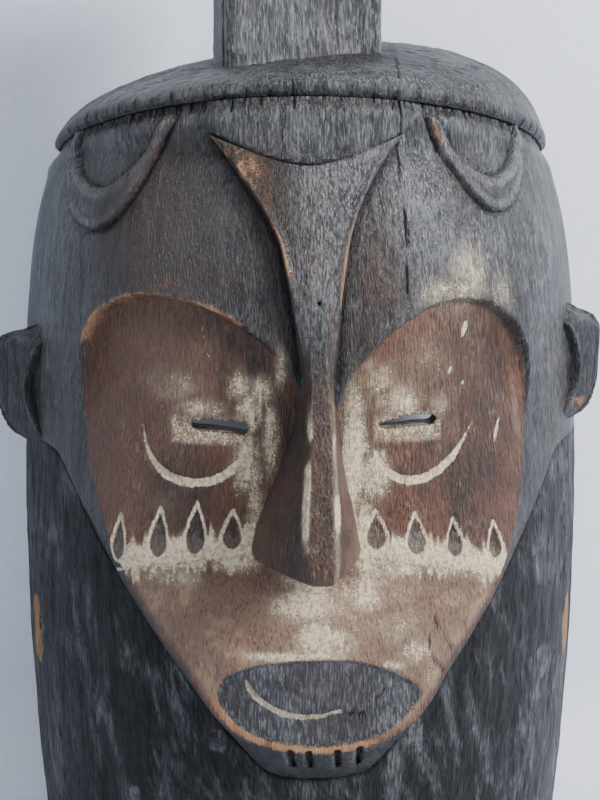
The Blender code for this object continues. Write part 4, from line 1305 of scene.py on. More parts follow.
class MASK_OT_trunk(bpy.types.Operator):
    """Carve the trunk below the face, with its adze marks and side holes"""

    bl_idname = "mask.trunk"
    bl_label = "Trunk"

    def execute(self, context):
        carving = context.scene.mask_carving
        detail = 1.0 / carving.fineness
        rows = int(130 * carving.fineness)
        angle, z = log_grid(0.50 * detail, 0.55 * detail, 60.0, rows, trunk_foot, trunk_top)
        radius, masks = trunk_relief(angle, z, carving)
        inner, inner_masks = hollow_grid(60.0, 50, trunk_foot, trunk_top, carving)
        wood = shared_wood(context, "Trunk wood")
        outer = around(radius, angle, z)
        piece = wall_piece("carved_trunk", "trunk_shell", wood, outer, masks, inner, inner_masks)
        cut_away(piece, [tie_bore(-1), tie_bore(1)])
        return {"FINISHED"}


# --- Crown ------------------------------------------------------------------------------

CROWN_CRACK_X = 29.0
# Pits in the crown: across, then along from the log's axis, and size
CROWN_PITS = [
    (-52.0, -58.0, 2.2), (-40.0, -70.0, 1.2), (36.0, -50.0, 1.0), (44.0, -58.0, 1.4),
    (40.0, -44.0, 0.9), (58.0, -48.0, 1.0), (50.0, -66.0, 0.9),
]
BRIM_RADIUS = 92.0           # radius on which degrees become millimetres round the brim
BRIM_NICK_PITCH = 3.7


def dome_height(reach, angle, rim, top_z, lean):
    """Height of a dome at a distance and an angle from the axis."""
    share = np.minimum(1.0, reach / rim)
    swell = np.sqrt(np.maximum(0.0, 1.0 - share**CROWN_FULLNESS))
    arch = (brim_line(angle) - BRIM_Z) * share**ARCH_FADE
    return BRIM_Z + (top_z - BRIM_Z) * swell + arch + lean * share * np.sin(np.radians(angle)) * swell


def crown_surface(rim, top_z, columns, rings, lean):
    """A dome's plan and height, row by row from the rim to the open back's middle."""
    end = math.degrees(math.acos(-BACK_DEPTH / rim))
    angle = np.linspace(-end, end, columns + 1)[None, :] * np.ones((rings + 1, 1))
    share = np.linspace(0.0, 1.0, rings + 1)[:, None] * np.ones((1, columns + 1))
    rim_x = rim * np.sin(np.radians(angle))
    rim_y = -rim * np.cos(np.radians(angle))
    drawn_in = 1.0 - np.cos(np.pi / 2.0 * share)
    x = rim_x * (1.0 - drawn_in)
    y = rim_y + (BACK_DEPTH - rim_y) * drawn_in
    turn = np.degrees(np.arctan2(x, -y))
    z = dome_height(np.hypot(x, y), turn, rim, top_z, lean) + SEAM_GAP
    return x, y, z, turn


def hew_crown(x, y, z, turn, carving):
    """Adze marks, a rolled lip with nicks, pits and a crack over the crown's outside."""
    over = z - brim_line(turn)
    round_it = turn * math.radians(1.0) * BRIM_RADIUS
    hew = layered(x, y, 18.0, 7.0, 201) + 0.5 * patchy(x, y, 3.0, 1.3, 202)
    ripples = patchy(x, y, 14.0, 1.1, 203) * ease(-y, 30.0, 60.0)
    ripples += 0.8 * patchy(round_it, z, 16.0, 1.6, 206) * (1.0 - ease(over, 10.0, 18.0))
    relief = carving.adze_depth / MM * 0.9 * hew + 0.16 * ripples
    relief *= ease(over, 0.0, 2.5) * ease(BACK_DEPTH - y, 0.0, 3.0)
    crack_gap = np.abs(x - CROWN_CRACK_X - 0.8 * patchy(x, y, 6.0, 5.0, 204))
    crack = (1.0 - ease(crack_gap, 0.10, 0.45)) * ease(-y, 55.0, 70.0)
    relief -= 0.7 * crack
    pits = np.zeros(x.shape)
    for px, py, size in CROWN_PITS:
        pits = np.maximum(pits, bell(x, px, 1.7 * size) * bell(y, py, 0.7 * size))
    relief -= 1.6 * pits
    slits = (patchy(round_it, z, 9.0, 1.0, 207) > 0.72) * ease(over, 4.0, 8.0)
    slits = slits * (1.0 - ease(over, 14.0, 22.0))
    relief -= 0.35 * slits
    outward = 0.9 * bell(over, 3.6, 2.6) - 0.9 * (1.0 - ease(over, 0.0, 1.8))
    number = np.floor(round_it / BRIM_NICK_PITCH)
    tooth = np.abs((round_it / BRIM_NICK_PITCH) % 1.0 - 0.5) * BRIM_NICK_PITCH
    length = 2.6 + 1.9 * uneven(number)
    nick = (1.0 - ease(tooth, 0.2, 0.9)) * (1.0 - ease(over, length, length + 1.6))
    nick *= chosen(number, 0.35) * (np.abs(turn) < 70.0)
    outward = outward - 0.6 * nick
    masks = blank_masks(x.shape)
    masks["cut"] = np.maximum.reduce([crack, ease(pits, 0.25, 0.6), 0.5 * slits, 0.7 * nick])
    # Painted shade along the underside of the lip, laid as soot
    masks["cut"] = np.maximum(masks["cut"], 0.5 * (1.0 - ease(over, 0.1, 1.0)))
    flakes = 0.9 * nick * chosen(number, 0.93, rate=FLAKE_RATE)
    lip = 0.32 * bell(over, 4.5, 2.2) * ease(patchy(round_it, z, 9.0, 9.0, 205), 0.3, 0.8)
    masks["bare"] = np.maximum(flakes, lip)
    # Dust with painted sheen on both shoulders of the crown, and dust just above the lip
    left_dust_and_sheen = 0.65 * bell(x, -48.0, 22.0) * bell(y, -45.0, 22.0)
    right_dust_and_sheen = 0.45 * bell(x, 48.0, 20.0) * bell(y, -40.0, 25.0)
    masks["dust"] = np.maximum.reduce([left_dust_and_sheen, right_dust_and_sheen, 0.50 * bell(over, 7.0, 5.0)])
    return relief, outward, masks


class MASK_OT_crown(bpy.types.Operator):
    """Carve the domed crown with its brim"""

    bl_idname = "mask.crown"
    bl_label = "Crown"

    def execute(self, context):
        carving = context.scene.mask_carving
        columns, rings = int(420 * carving.fineness), int(150 * carving.fineness)
        rim = float(log_radius(BRIM_Z))
        x, y, z, turn = crown_surface(rim + BRIM_OVERHANG, CROWN_TOP_Z, columns, rings, CROWN_LEAN)
        relief, outward, masks = hew_crown(x, y, z, turn, carving)
        at_back = ease(BACK_DEPTH - y, 0.0, 1.0)
        grow = 1.0 + outward / np.maximum(np.hypot(x, y), 1.0)
        y = np.minimum(y * (1.0 + (grow - 1.0) * at_back), BACK_DEPTH)
        outer = np.stack([x * grow, y + AXIS_Y, z + relief], axis=-1) * MM
        x, y, z, _ = crown_surface(rim - WALL, CROWN_TOP_Z - CROWN_WALL, 90, 26, 0.0)
        inner = np.stack([x, y + AXIS_Y, z], axis=-1) * MM
        wood = shared_wood(context, "Dome wood")
        raw = {"raw": np.ones(x.shape)}
        piece = wall_piece("carved_dome", "crown_cap", wood, outer, masks, inner, raw)
        tidy_mesh(piece)
        return {"FINISHED"}


def tidy_mesh(piece):
    """Joins points that fell together and turns every face outwards."""
    bm = bmesh.new()
    bm.from_mesh(piece.data)
    bmesh.ops.remove_doubles(bm, verts=bm.verts, dist=0.00001)
    bmesh.ops.recalc_face_normals(bm, faces=bm.faces)
    bm.to_mesh(piece.data)
    bm.free()


# --- Nose and shield --------------------------------------------------------------------

# Where the ridge runs: height, then degrees
NOSE_RIDGE = [
    (NOSE_TIP_Z, 0.9), (150.0, 0.8), (160.0, 0.8), (176.0, 1.1), (190.0, 1.3), (206.0, 1.2),
    (220.0, 1.0), (240.0, 0.5), (277.0, -0.7),
]
# How far the ridge stands out from the log: height, then millimetres
NOSE_HEIGHTS = [
    (NOSE_TIP_Z, 26.6), (143.4, 28.4), (150.0, 26.8), (158.0, 23.0), (166.0, 19.4), (176.0, 15.0),
    (186.0, 11.0), (196.0, 7.6), (206.0, 5.2), (216.0, 3.8), (228.0, 3.0), (240.0, 2.7), (277.0, 2.6),
]
# Half the width of the flat strip along the ridge: height, then millimetres
NOSE_STRIP = [
    (NOSE_TIP_Z, 2.6), (155.0, 3.6), (170.0, 3.4), (190.0, 3.0), (206.0, 2.6), (280.0, 2.4),
]
SHIELD_LOW_Z = 266.4         # the middle of the shield's upper edge
SHIELD_RISE = 10.0
SHIELD_HOLLOWING = 1.9
SHIELD_HOLE = (0.6, 224.0)   # a small bored pit: across from the ridge, and height
SEAT_DEPTH = 6.0             # how far the nose is let into the log


def nose_top(share):
    """Height of the shield's hollowed upper edge across its width."""
    return SHIELD_LOW_Z + SHIELD_RISE * np.abs(share) ** SHIELD_HOLLOWING


def nose_grid(columns, rows):
    """Angles and heights over the nose and shield, and the share across and half its width."""
    share = np.linspace(-1.0, 1.0, columns + 1)[None, :] * np.ones((rows + 1, 1))
    rise = np.linspace(0.0, 1.0, rows + 1)[:, None] * np.ones((1, columns + 1))
    z = NOSE_TIP_Z + rise * (nose_top(share) - NOSE_TIP_Z)
    left = profile(z, [(row[0], row[1]) for row in NOSE_SIDES])
    right = profile(z, [(row[0], row[2]) for row in NOSE_SIDES])
    middle = profile(z, NOSE_RIDGE)
    angle = np.where(share < 0.0, middle + (middle - left) * share, middle + (right - middle) * share)
    half = np.where(share < 0.0, middle - left, right - middle) * math.radians(1.0) * log_radius(z)
    return angle, z, share, half


class MASK_OT_nose(bpy.types.Operator):
    """Carve the long nose that runs up into the forehead shield"""

    bl_idname = "mask.nose"
    bl_label = "Nose and shield"

    def execute(self, context):
        carving = context.scene.mask_carving
        angle, z, share, half = nose_grid(int(84 * carving.fineness), int(240 * carving.fineness))
        base = log_radius(z)
        across = share * half
        high = ease(z, 196.0, 212.0)
        surface = np.minimum(face_radius(angle, z), base) * (1.0 - high) + base * high
        strip = profile(z, NOSE_STRIP)
        slope = np.clip((half - np.abs(across)) / np.maximum(half - strip, 0.3), 0.0, 1.0)
        flank = 1.0 - ease(z, 196.0, 222.0)
        shape = slope**0.92 * flank + ease(slope, 0.0, 0.12 + 0.5 * flank) * (1.0 - flank)
        foot = surface - base
        lift = foot + (profile(z, NOSE_HEIGHTS) - foot) * shape
        rim_gap = half - np.abs(across)
        shield = ease(z, 214.0, 232.0)
        bowl = 1.0 - np.clip(np.abs(across) / np.maximum(half, 1.0), 0.0, 1.0) ** 2
        lift += shield * (1.1 * bell(rim_gap, 1.0, 1.3) - 1.0 * bowl * ease(z, 230.0, 262.0))
        lift += 0.5 * bell(nose_top(share) - z, 1.2, 1.2)
        spine = (1.0 - ease(z, 200.0, 236.0)) * bell(np.abs(across), strip + 0.4, 0.7)
        lift -= 0.30 * spine
        lift += 0.05 * patchy(across, z, 0.9, 16.0, 301)
        lift += 0.8 * carving.facet_depth / MM * layered(across, z, 6.0, 24.0, 302)
        hole = bell(across, SHIELD_HOLE[0], 0.7) * bell(z, SHIELD_HOLE[1], 0.8)
        lift -= 1.8 * hole
        masks = nose_masks(across, z, strip, slope, rim_gap, shield, hole)
        inner_angle, inner_z, _, _ = nose_grid(16, 60)
        outer = around(base + lift, angle, z)
        inner = around(log_radius(inner_z) - SEAT_DEPTH, inner_angle, inner_z)
        wood = shared_wood(context, "Nose wood")
        raw = {"raw": np.ones(inner_z.shape)}
        piece = wall_piece("carved_nose", "nose_and_shield", wood, outer, masks, inner, raw)
        return {"FINISHED"}


def nose_masks(across, z, strip, slope, rim_gap, shield, hole):
    """Where the nose and shield are brown, worn, dusted or touched with clay, with painted shade on the
    nose's left flank and painted sheen on the shield.
    """
    masks = blank_masks(z.shape)
    masks["face"] = np.clip((201.0 - z) / 22.0, -DEPTH_REACH, DEPTH_REACH)
    # Painted shade: the nose's left flank, turned from the key light, is darkened through the cut share
    painted_left_flank_shade = ease(-across, strip + 0.4, strip + 2.5) * (1.0 - ease(z, 192.0, 214.0))
    masks["cut"] = np.maximum(ease(hole, 0.35, 0.7), 0.42 * painted_left_flank_shade)
    flecks = ease(patchy(across, z, 3.0, 9.0, 303), -0.2, 0.5)
    low = 1.0 - ease(z, 180.0, 200.0)
    left_edge = bell(across, -strip - 0.2, 1.0) * low * flecks
    right_edge = bell(across, strip + 1.0, 1.0) * (1.0 - ease(z, 190.0, 204.0)) * (0.35 + 0.65 * flecks)
    foot = bell(slope, 0.0, 0.13) * (1.0 - ease(z, 196.0, 214.0))
    foot *= ease(patchy(across, z, 4.0, 14.0, 304), -0.4, 0.4)
    masks["clay"] = np.maximum.reduce([0.95 * left_edge, 1.05 * right_edge, 0.72 * foot * (across > 0.0)])
    rim = shield * bell(rim_gap, 0.9, 1.0) * ease(patchy(across, z, 6.0, 12.0, 305), -0.3, 0.5)
    crest = (1.0 - ease(z, 200.0, 214.0)) * bell(np.abs(across), strip, 0.7)
    masks["bare"] = np.maximum(0.66 * rim, 0.30 * crest)
    corner = shield * bell(across, -22.0, 9.0) * bell(z, 266.0, 12.0)
    corner *= ease(patchy(across, z, 4.0, 8.0, 306), -0.3, 0.6)
    masks["bare"] = np.maximum(masks["bare"], 0.55 * corner)
    masks["warm"] = np.maximum(0.9 * ease(-across, 3.0, 14.0) * ease(z, 226.0, 250.0), 0.2 * shield)
    # Painted satin highlight over the right of the upper nose and shield, laid as dust
    masks["dust"] = 1.1 * ease(across, -9.0, 2.0) * ease(z, 208.0, 232.0)
    return masks


# --- Ears -------------------------------------------------------------------------------

EAR_HALF_HEIGHT = 21.5
EAR_ROOT = -9.0              # where an ear's slab begins, inside the head
EAR_REACH = 25.5
EAR_THICK = 12.0
EAR_Z = 193.5
EAR_START_ANGLE = 61.0       # where an ear leaves the log
EAR_SWEEP = 39.0             # how far an ear is swept back
# By how much the left ear reaches further and sits lower, and the right the other way
EAR_UNEVEN_REACH = 2.0
EAR_UNEVEN_Z = 3.5


class MASK_OT_ears(bpy.types.Operator):
    """Carve the two ears, with their crescent hollows"""

    bl_idname = "mask.ears"
    bl_label = "Ears"

    def execute(self, context):
        for side, label in ((-1, "left"), (1, "right")):
            carve_ear(context, side, label)
        return {"FINISHED"}


def ear_outline(reach):
    """The ear's outline: outwards and up from its middle, in millimetres."""
    return curve([
        (EAR_ROOT, -EAR_HALF_HEIGHT), (reach - 21.0, -EAR_HALF_HEIGHT), (reach - 13.0, -20.2),
        (reach - 5.5, -15.0), (reach - 1.2, -7.0), (reach, 2.0), (reach, 8.6), (reach - 1.2, 12.0),
        (reach - 4.5, 14.6), (12.0, 18.6), (4.0, 21.0), (EAR_ROOT, EAR_HALF_HEIGHT),
    ], 10)


def ear_grid(outline, rows, columns):
    """Places over an ear's outline: outwards, and up from its middle."""
    heights = np.linspace(-EAR_HALF_HEIGHT, EAR_HALF_HEIGHT, rows + 1)
    nearest = [np.abs(outline[:, 1] - level).argsort()[:6] for level in heights]
    reach = np.array([outline[near, 0].max() for near in nearest])
    share = np.linspace(0.0, 1.0, columns + 1)
    x = EAR_ROOT + (reach[:, None] - EAR_ROOT) * share[None, :]
    return x, heights[:, None] * np.ones((1, columns + 1))


def carve_ear(context, side, label):
    """One ear as a slab with a bevelled top, softened edges and a crescent ridge by the head."""
    carving = context.scene.mask_carving
    outline = ear_outline(EAR_REACH - EAR_UNEVEN_REACH * side)
    x, z = ear_grid(outline, int(90 * carving.fineness), int(76 * carving.fineness))
    gap, _ = to_line(x.ravel(), z.ravel(), outline)
    edge = np.minimum(gap.reshape(x.shape), 6.0)
    ridge_x = 10.0 - 0.028 * (z + 2.0) ** 2
    upright = 1.0 - ease(np.abs(z + 2.0), 14.5, 17.0)
    ridge = bell(x, ridge_x, 1.0) * upright
    hollow = (1.0 - ease(x, ridge_x - 1.8, ridge_x - 0.2)) * upright
    depth = 0.7 * ridge - 2.4 * hollow - 1.6 * (1.0 - ease(edge, 0.0, 2.6))
    depth = depth - 3.8 * ease(z, 11.5 + 0.25 * x, 17.5 + 0.1 * x)
    depth = depth + 0.25 * layered(x, z, 6.0, 8.0, 401 + side) + 0.06 * patchy(x, z, 1.0, 6.0, 411)
    masks = blank_masks(x.shape)
    masks["cut"] = 0.8 * hollow * bell(x, ridge_x - 1.3, 1.8)
    masks["bare"] = 0.45 * bell(edge, 0.8, 0.9) * ease(patchy(x, z, 6.0, 7.0, 421 + side), 0.2, 0.8)
    if side > 0:
        worn = bell(x, 10.0, 7.0) * bell(z, -15.0, 3.5) * ease(patchy(x, z, 3.0, 2.0, 430), -0.3, 0.5)
        masks["bare"] = np.maximum(masks["bare"], 0.75 * worn)
    # An even film of dust, with painted highlights on the top bevel and the ridge
    masks["dust"] = 0.30 + 0.5 * ease(z, 12.0, 18.0) + 0.35 * ridge
    rear = EAR_THICK - 1.2 * (1.0 - ease(edge, 0.0, 2.0))
    front_sheet, rear_sheet = (ear_sheet(side, x, z, offset) for offset in (-depth, rear))
    wood = shared_wood(context, "Ear wood")
    name, node = f"carved_ear_{label}", f"ear_{label}"
    piece = wall_piece(name, node, wood, front_sheet, masks, rear_sheet, {"dust": masks["dust"]})
    tidy_mesh(piece)


def ear_sheet(side, x, z, offset):
    """Points in metres over one face of an ear, set against the head and swept back."""
    level = EAR_Z + side * EAR_UNEVEN_Z
    sweep = math.radians(EAR_SWEEP) * side
    start_angle = math.radians(EAR_START_ANGLE) * side
    reach = float(log_radius(level))
    base = np.array([reach * math.sin(start_angle), -reach * math.cos(start_angle)])
    along = np.array([math.cos(sweep), math.sin(sweep)]) * side
    back = np.array([-math.sin(sweep), math.cos(sweep)])
    flat = base + x[..., None] * along + offset[..., None] * back
    return np.stack([flat[..., 0], flat[..., 1] + AXIS_Y, z + level], axis=-1) * MM


# --- Crest ------------------------------------------------------------------------------

CREST_WIDTH = 53.5
CREST_DEPTH = 50.0
CREST_LOW_Z = 296.5          # the block's foot, inside the crown
CREST_CORNER = 14            # a higher power makes the block's arrises sharper
CREST_TURN = math.radians(6.5)
CREST_MIDDLE = np.array([-3.2, -37.0 + AXIS_Y])
CREST_END_RINGS = 16


class MASK_OT_crest(bpy.types.Operator):
    """Hew the square block that stands on the crown"""

    bl_idname = "mask.crest"
    bl_label = "Crest block"

    def execute(self, context):
        carving = context.scene.mask_carving
        width, deep = CREST_WIDTH, CREST_DEPTH
        low, high = CREST_LOW_Z, CREST_HIGH[2] / MM
        ring = square_ring(int(60 * carving.fineness))
        rows, count = int(90 * carving.fineness), len(ring)
        z = (low + (high - low) * np.linspace(0.0, 1.0, rows + 1))[:, None] * np.ones((1, count))
        flat_x = ring[None, :, 0] * width * np.ones(z.shape)
        flat_y = ring[None, :, 1] * deep * np.ones(z.shape)
        share_x, share_y = np.abs(flat_x) * 2.0 / width, np.abs(flat_y) * 2.0 / deep
        corner = (share_x**CREST_CORNER + share_y**CREST_CORNER) ** (1.0 / CREST_CORNER)
        x, y = flat_x / corner, flat_y / corner
        run = np.arange(count)[None, :] * np.ones(z.shape)
        grain = patchy(run, z, 1.6, 22.0, 501) + 0.6 * patchy(run, z, 1.0, 10.0, 502)
        foot = 1.0 - ease(z, low + 14.0, low + 26.0)
        planed = patchy(run, z + 0.12 * run, 26.0, 1.8, 507) * foot
        inward = 0.12 * grain + 0.4 * layered(run, z, 14.0, 22.0, 503) + 0.22 * planed
        split_at = -deep / 2.0 + 5.6 + 0.8 * patchy(z, 0.0 * z, 9.0, 9.0, 504)
        split = (x < -width * 0.42) * (1.0 - ease(np.abs(y - split_at), 0.5, 1.6))
        inward = inward - 1.9 * split
        length = np.hypot(x, y)
        x, y = x * (1.0 + inward / length), y * (1.0 + inward / length)
        points, faces = block_mesh(x, y, z)
        masks = blank_masks(len(points))
        body = (rows + 1) * count
        arris = np.abs(np.abs(flat_x) - width / 2.0) + np.abs(np.abs(flat_y) - deep / 2.0)
        wear = bell(np.minimum(arris, 9.0), 0.0, 1.6) * ease(patchy(run, z, 5.0, 9.0, 506), 0.1, 0.8)
        masks["bare"][:body] = (0.40 * wear).ravel()
        masks["cut"][:body] = np.maximum(split, 0.30 * ease(-planed, 0.5, 1.0)).ravel()
        masks["dust"][:] = 0.35
        masks["dust"][:body] = np.maximum(0.65 * foot, 0.40 + 0.25 * layered(run, z, 9.0, 9.0, 508)).ravel()
        wood = shared_wood(context, "Crest wood")
        piece = make_piece("hewn_crest", points, faces, masks, "crest_block", wood)
        return {"FINISHED"}


def square_ring(per_side):
    """Places round a unit square, closely spaced."""
    corners = np.array([(-0.5, -0.5), (0.5, -0.5), (0.5, 0.5), (-0.5, 0.5)])
    share = (np.arange(per_side) / per_side)[:, None]
    sides = [a + (b - a) * share for a, b in zip(corners, np.roll(corners, -1, axis=0))]
    return np.concatenate(sides)


def block_mesh(x, y, z):
    """Points and faces of the turned block, with its two ends closed by rings."""
    rows, count = z.shape
    middle = CREST_MIDDLE
    place_x = middle[0] + x * math.cos(CREST_TURN) - y * math.sin(CREST_TURN)
    place_y = middle[1] + x * math.sin(CREST_TURN) + y * math.cos(CREST_TURN)
    points = [(np.stack([place_x, place_y, z], axis=-1) * MM).reshape(-1, 3)]
    faces = grid_faces(0, rows, count, wrap=True)
    first = rows * count
    for level, flip in ((0, True), (rows - 1, False)):
        previous = np.arange(count) + level * count
        edge = np.stack([place_x[level], place_y[level]], axis=-1)
        for step in range(1, CREST_END_RINGS):
            inset = middle + (edge - middle) * (1.0 - step / CREST_END_RINGS)
            rise = 0.25 * layered(inset[:, 0], inset[:, 1], 6.0, 9.0, 505) * (level > 0)
            height = z[level] - np.abs(rise) * min(1.0, step / 3.0)
            points.append(np.stack([inset[:, 0], inset[:, 1], height], axis=-1) * MM)
            current = first + np.arange(count)
            faces += ring_faces(previous, current, flip)
            previous = current
            first += count
        points.append(np.array([[middle[0], middle[1], z[level, 0]]]) * MM)
        hub = np.full(count, first)
        faces += [face[:3] for face in ring_faces(previous, hub, flip, True)]
        first += 1
    return np.concatenate(points), faces


def ring_faces(outer, inner, flip, fan=False):
    """Faces between a ring of points and the next ring in, or their hub."""
    faces = []
    for k in range(len(outer)):
        after = (k + 1) % len(outer)
        face = [int(outer[k]), int(outer[after]), int(inner[after])]
        if not fan:
            face.append(int(inner[k]))
        faces.append(tuple(face[::-1] if flip else face))
    return faces


# --- Pegs -------------------------------------------------------------------------------


class MASK_OT_pegs(bpy.types.Operator):
    """Give the pegs and pins their whittled wood"""

    bl_idname = "mask.pegs"
    bl_label = "Pegs and pins"

    def execute(self, context):
        material = peg_wood(context)
        for name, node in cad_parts.items():
            if "peg" in name or "pin" in name:
                for slot in node.material_slots:
                    slot.material = material
        return {"FINISHED"}


# --- Stage ------------------------------------------------------------------------------

LOOK_AT = Vector((0.0, AXIS_Y * MM, 0.175))
LIT_MIDDLE = (0.0, 0.0, 0.19)
AIR_COLOUR = (0.80, 0.85, 0.93, 1.0)
# The sweep, in metres: where its floor begins, half its width, its height and its bend
SWEEP_FRONT = -1.8
SWEEP_HALF_WIDTH = 2.4
SWEEP_TOP = 2.2
SWEEP_BEND = 0.04
BEND_STEPS = 12


def pale_paper(name, colour):
    """A plain matt surface that is clear when seen from behind."""
    material, w, shader, place = new_material(name, colour)
    shade = tuple(0.93 * channel for channel in colour)
    tone = w.plus(w.times(w.noise(place, 2.5, 2.0), 0.5), w.times(w.noise(place, 260.0, 3.0, 0.7), 0.5))
    w.tree.links.new(w.blend(w.ramp(tone, 0.35, 0.65), shade, colour), shader.inputs["Base Color"])
    shader.inputs["Roughness"].default_value = 0.85
    clear = w.add("ShaderNodeBsdfTransparent")
    facing = w.add("ShaderNodeNewGeometry").outputs["Backfacing"]
    mix = w.add("ShaderNodeMixShader", {0: facing, 1: shader.outputs[0], 2: clear.outputs[0]})
    output = material.node_tree.nodes["Material Output"]
    w.tree.links.new(mix.outputs[0], output.inputs["Surface"])
    return material


def soft_light(name, place, size, power, colour):
    """A large soft lamp aimed at the middle of the mask."""
    lamp = bpy.data.lights.new(name, "AREA")
    lamp.shape = "RECTANGLE"
    lamp.size, lamp.size_y = size
    lamp.energy = power
    lamp.color = colour
    light = bpy.data.objects.new(name, lamp)
    bpy.context.scene.collection.objects.link(light)
    light.location = place
    light.rotation_euler = (Vector(LIT_MIDDLE) - Vector(place)).to_track_quat("-Z", "Y").to_euler()


class MASK_OT_stage(bpy.types.Operator):
    """Set the plain pale sweep, the soft lights and the camera"""

    bl_idname = "mask.stage"
    bl_label = "Studio"

    def execute(self, context):
        studio = context.scene.mask_studio
        place_camera(studio)
        pale_sweep(studio)
        soft_light("key", (0.95, -0.62, 0.80), (0.35, 0.45), studio.key_power, (1.0, 0.98, 0.96))
        soft_light("fill", (-1.05, -0.55, 0.45), (0.7, 1.3), studio.fill_power, (0.90, 0.95, 1.0))
        soft_light("top", (0.15, -0.20, 1.35), (0.9, 0.9), studio.top_power, (0.97, 0.98, 1.0))
        world = bpy.data.worlds.new("Studio air")
        world.use_nodes = True
        background = world.node_tree.nodes["Background"]
        background.inputs["Color"].default_value = AIR_COLOUR
        background.inputs["Strength"].default_value = studio.air
        context.scene.world = world
        return {"FINISHED"}


def place_camera(studio):
    """The camera looks a little down on the face, from slightly to one side."""
    yaw, pitch = studio.camera_turn, studio.camera_tilt
    back = Vector((-math.sin(yaw) * math.cos(pitch), -math.cos(yaw) * math.cos(pitch), math.sin(pitch)))
    data = bpy.data.cameras.new("camera")
    data.lens = studio.lens
    data.sensor_width = 36.0
    data.clip_start = 0.01
    camera = bpy.data.objects.new("camera", data)
    bpy.context.scene.collection.objects.link(camera)
    camera.location = LOOK_AT + studio.camera_distance * back
    camera.rotation_euler = (-back).to_track_quat("-Z", "Y").to_euler()
    bpy.context.scene.camera = camera


def pale_sweep(studio):
    """A floor that turns up into a wall behind the mask."""
    wall_y = TRUNK_HIGH[1] + studio.wall_distance
    side_line = [(SWEEP_FRONT, 0.0)]
    for step in range(BEND_STEPS + 1):
        turn = math.pi / 2.0 * step / BEND_STEPS
        y = wall_y - SWEEP_BEND + SWEEP_BEND * math.sin(turn)
        side_line.append((y, SWEEP_BEND - SWEEP_BEND * math.cos(turn)))
    side_line.append((wall_y, SWEEP_TOP))
    points = [(x, y, z) for x in (-SWEEP_HALF_WIDTH, SWEEP_HALF_WIDTH) for y, z in side_line]
    count = len(side_line)
    faces = [(k, count + k, count + k + 1, k + 1) for k in range(count - 1)]
    mesh = bpy.data.meshes.new("sweep")
    mesh.from_pydata(points, [], faces)
    mesh.shade_smooth()
    sweep = bpy.data.objects.new("sweep", mesh)
    bpy.context.scene.collection.objects.link(sweep)
    mesh.materials.append(pale_paper("Pale sweep", tuple(studio.backdrop)))


# --- Settings, panel and registration ---------------------------------------------------


def colour_setting(name, description, default):
    """A colour that a user may change."""
    return bpy.props.FloatVectorProperty(
        name=name, description=description, default=default, subtype="COLOR", min=0.0, max=1.0
    )


class MaskCarving(bpy.types.PropertyGroup):
    """Depths of the carver's tool marks."""

    fineness: bpy.props.FloatProperty(
        name="Fineness", description="Fineness of the carved surfaces",
        default=1.0, min=0.2, max=2.0, subtype="FACTOR",
    )
    facet_depth: bpy.props.FloatProperty(
        name="Facet depth", description="Depth of the knife's facets on the head",
        default=0.00028, unit="LENGTH",
    )
    adze_depth: bpy.props.FloatProperty(
        name="Adze depth", description="Depth of the adze cuts on trunk and crown",
        default=0.00055, unit="LENGTH",
    )
    gouge_depth: bpy.props.FloatProperty(
        name="Gouge depth", description="Depth of the gouge's scallops in the hollow",
        default=0.0010, unit="LENGTH",
    )


class MaskFinish(bpy.types.PropertyGroup):
    """Colours of the woods, the clay and the soot."""

    black_wood: colour_setting("Black wood", "Soot-blackened wood", (0.0085, 0.0088, 0.0105))
    # This grey also paints sheen and highlights wherever the dust mask carries them
    grey_bloom_and_sheen: colour_setting("Grey bloom", "Pale bloom on raised fibres", (0.170, 0.178, 0.190))
    warm_black: colour_setting("Warm black", "Blackened wood rubbed by hands", (0.034, 0.017, 0.011))
    worn_brown: colour_setting("Worn wood", "Wood rubbed warm by wear", (0.120, 0.060, 0.035))
    bare_wood: colour_setting("Bare wood", "Wood worn bare", (0.330, 0.180, 0.085))
    face_dark: colour_setting("Dark face wood", "Darker parts of the face", (0.021, 0.012, 0.010))
    face_brown: colour_setting("Face wood", "Brown wood of the face", (0.074, 0.034, 0.023))
    face_red: colour_setting("Red face wood", "Redder streaks in the face", (0.120, 0.046, 0.027))
    face_pale: colour_setting("Pale face wood", "Face wood under a film of clay", (0.270, 0.175, 0.115))
    mouth_dark: colour_setting("Mouth", "Grey-black end of the muzzle", (0.018, 0.018, 0.020))
    clay: colour_setting("Clay", "White clay", (0.680, 0.590, 0.420))
    clay_shade: colour_setting("Clay shade", "Thin or soiled clay", (0.330, 0.265, 0.170))
    soot: colour_setting("Soot", "Soot in the cuts", (0.005, 0.005, 0.005))
    inside_dark: colour_setting("Hollow, dark", "Old raw wood of the hollow", (0.045, 0.028, 0.018))
    inside_light: colour_setting("Hollow, light", "Paler raw wood of the hollow", (0.130, 0.085, 0.052))


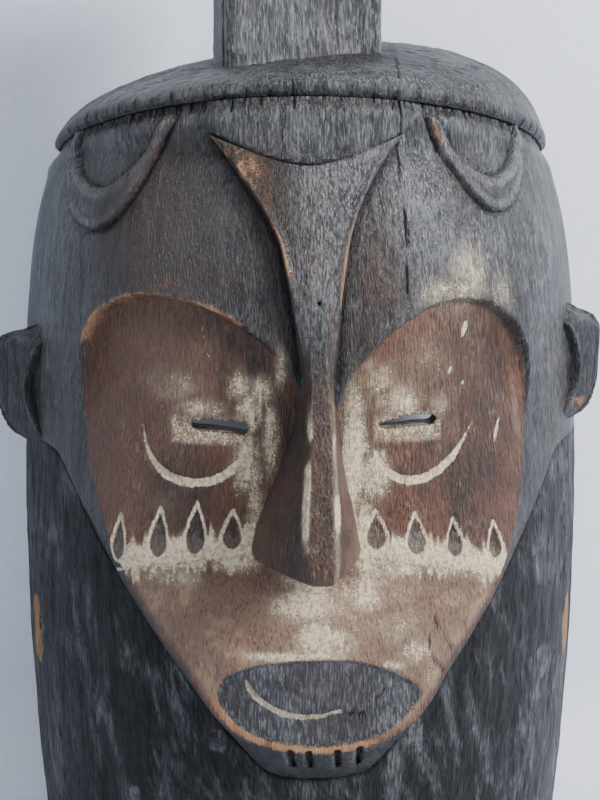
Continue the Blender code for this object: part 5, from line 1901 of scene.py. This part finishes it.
class MaskStudio(bpy.types.PropertyGroup):
    """The studio round the mask."""

    camera_turn: bpy.props.FloatProperty(
        name="Camera turn", description="Angle of the camera to the viewer's left",
        default=math.radians(2.0), subtype="ANGLE",
    )
    camera_tilt: bpy.props.FloatProperty(
        name="Camera tilt", description="Angle by which the camera looks down",
        default=math.radians(10.0), subtype="ANGLE",
    )
    camera_distance: bpy.props.FloatProperty(
        name="Camera distance", description="Distance from the middle of the mask",
        default=0.540, unit="LENGTH",
    )
    lens: bpy.props.FloatProperty(
        name="Lens", description="Focal length in millimetres", default=61.74, unit="CAMERA"
    )
    wall_distance: bpy.props.FloatProperty(
        name="Wall distance", description="Distance from the mask's open back to the wall",
        default=0.036, unit="LENGTH",
    )
    key_power: bpy.props.FloatProperty(
        name="Key light", description="Power of the main light", default=39.0, unit="POWER"
    )
    fill_power: bpy.props.FloatProperty(
        name="Fill light", description="Power of the weaker side light", default=8.0, unit="POWER"
    )
    top_power: bpy.props.FloatProperty(
        name="Top light", description="Power of the light overhead", default=8.0, unit="POWER"
    )
    air: bpy.props.FloatProperty(
        name="Air", description="Strength of the light from all round",
        default=0.27, min=0.0, max=2.0, subtype="FACTOR",
    )
    backdrop: colour_setting("Backdrop", "Colour of floor and wall", (0.66, 0.70, 0.80))


OPERATORS = (
    MASK_OT_stage, MASK_OT_trunk, MASK_OT_head, MASK_OT_crown, MASK_OT_nose, MASK_OT_ears,
    MASK_OT_crest, MASK_OT_pegs,
)
SETTINGS = {
    "mask_carving": MaskCarving,
    "mask_finish": MaskFinish,
    "mask_studio": MaskStudio,
}


class MASK_PT_panel(bpy.types.Panel):
    """Lists the mask's pieces and settings"""

    bl_idname = "MASK_PT_panel"
    bl_label = "Carved mask"
    bl_space_type = "VIEW_3D"
    bl_region_type = "UI"
    bl_category = "Mask"

    def draw(self, context):
        layout = self.layout
        for operator in OPERATORS:
            layout.operator(operator.bl_idname)
        for label, kind in SETTINGS.items():
            box = layout.box()
            group = getattr(context.scene, label)
            for setting in kind.__annotations__:
                box.prop(group, setting)


def register():
    """Registers the settings, operators and panel."""
    for label, kind in SETTINGS.items():
        bpy.utils.register_class(kind)
        setattr(bpy.types.Scene, label, bpy.props.PointerProperty(type=kind))
    for kind in (*OPERATORS, MASK_PT_panel):
        bpy.utils.register_class(kind)


def unregister():
    """Takes the add-on's classes away again."""
    for kind in (MASK_PT_panel, *reversed(OPERATORS)):
        bpy.utils.unregister_class(kind)
    for label, kind in SETTINGS.items():
        delattr(bpy.types.Scene, label)
        bpy.utils.unregister_class(kind)


def main():
    """Builds the whole scene."""
    register()
    for operator in OPERATORS:
        group, name = operator.bl_idname.split(".")
        getattr(getattr(bpy.ops, group), name)()


if __name__ == "__main__":
    main()
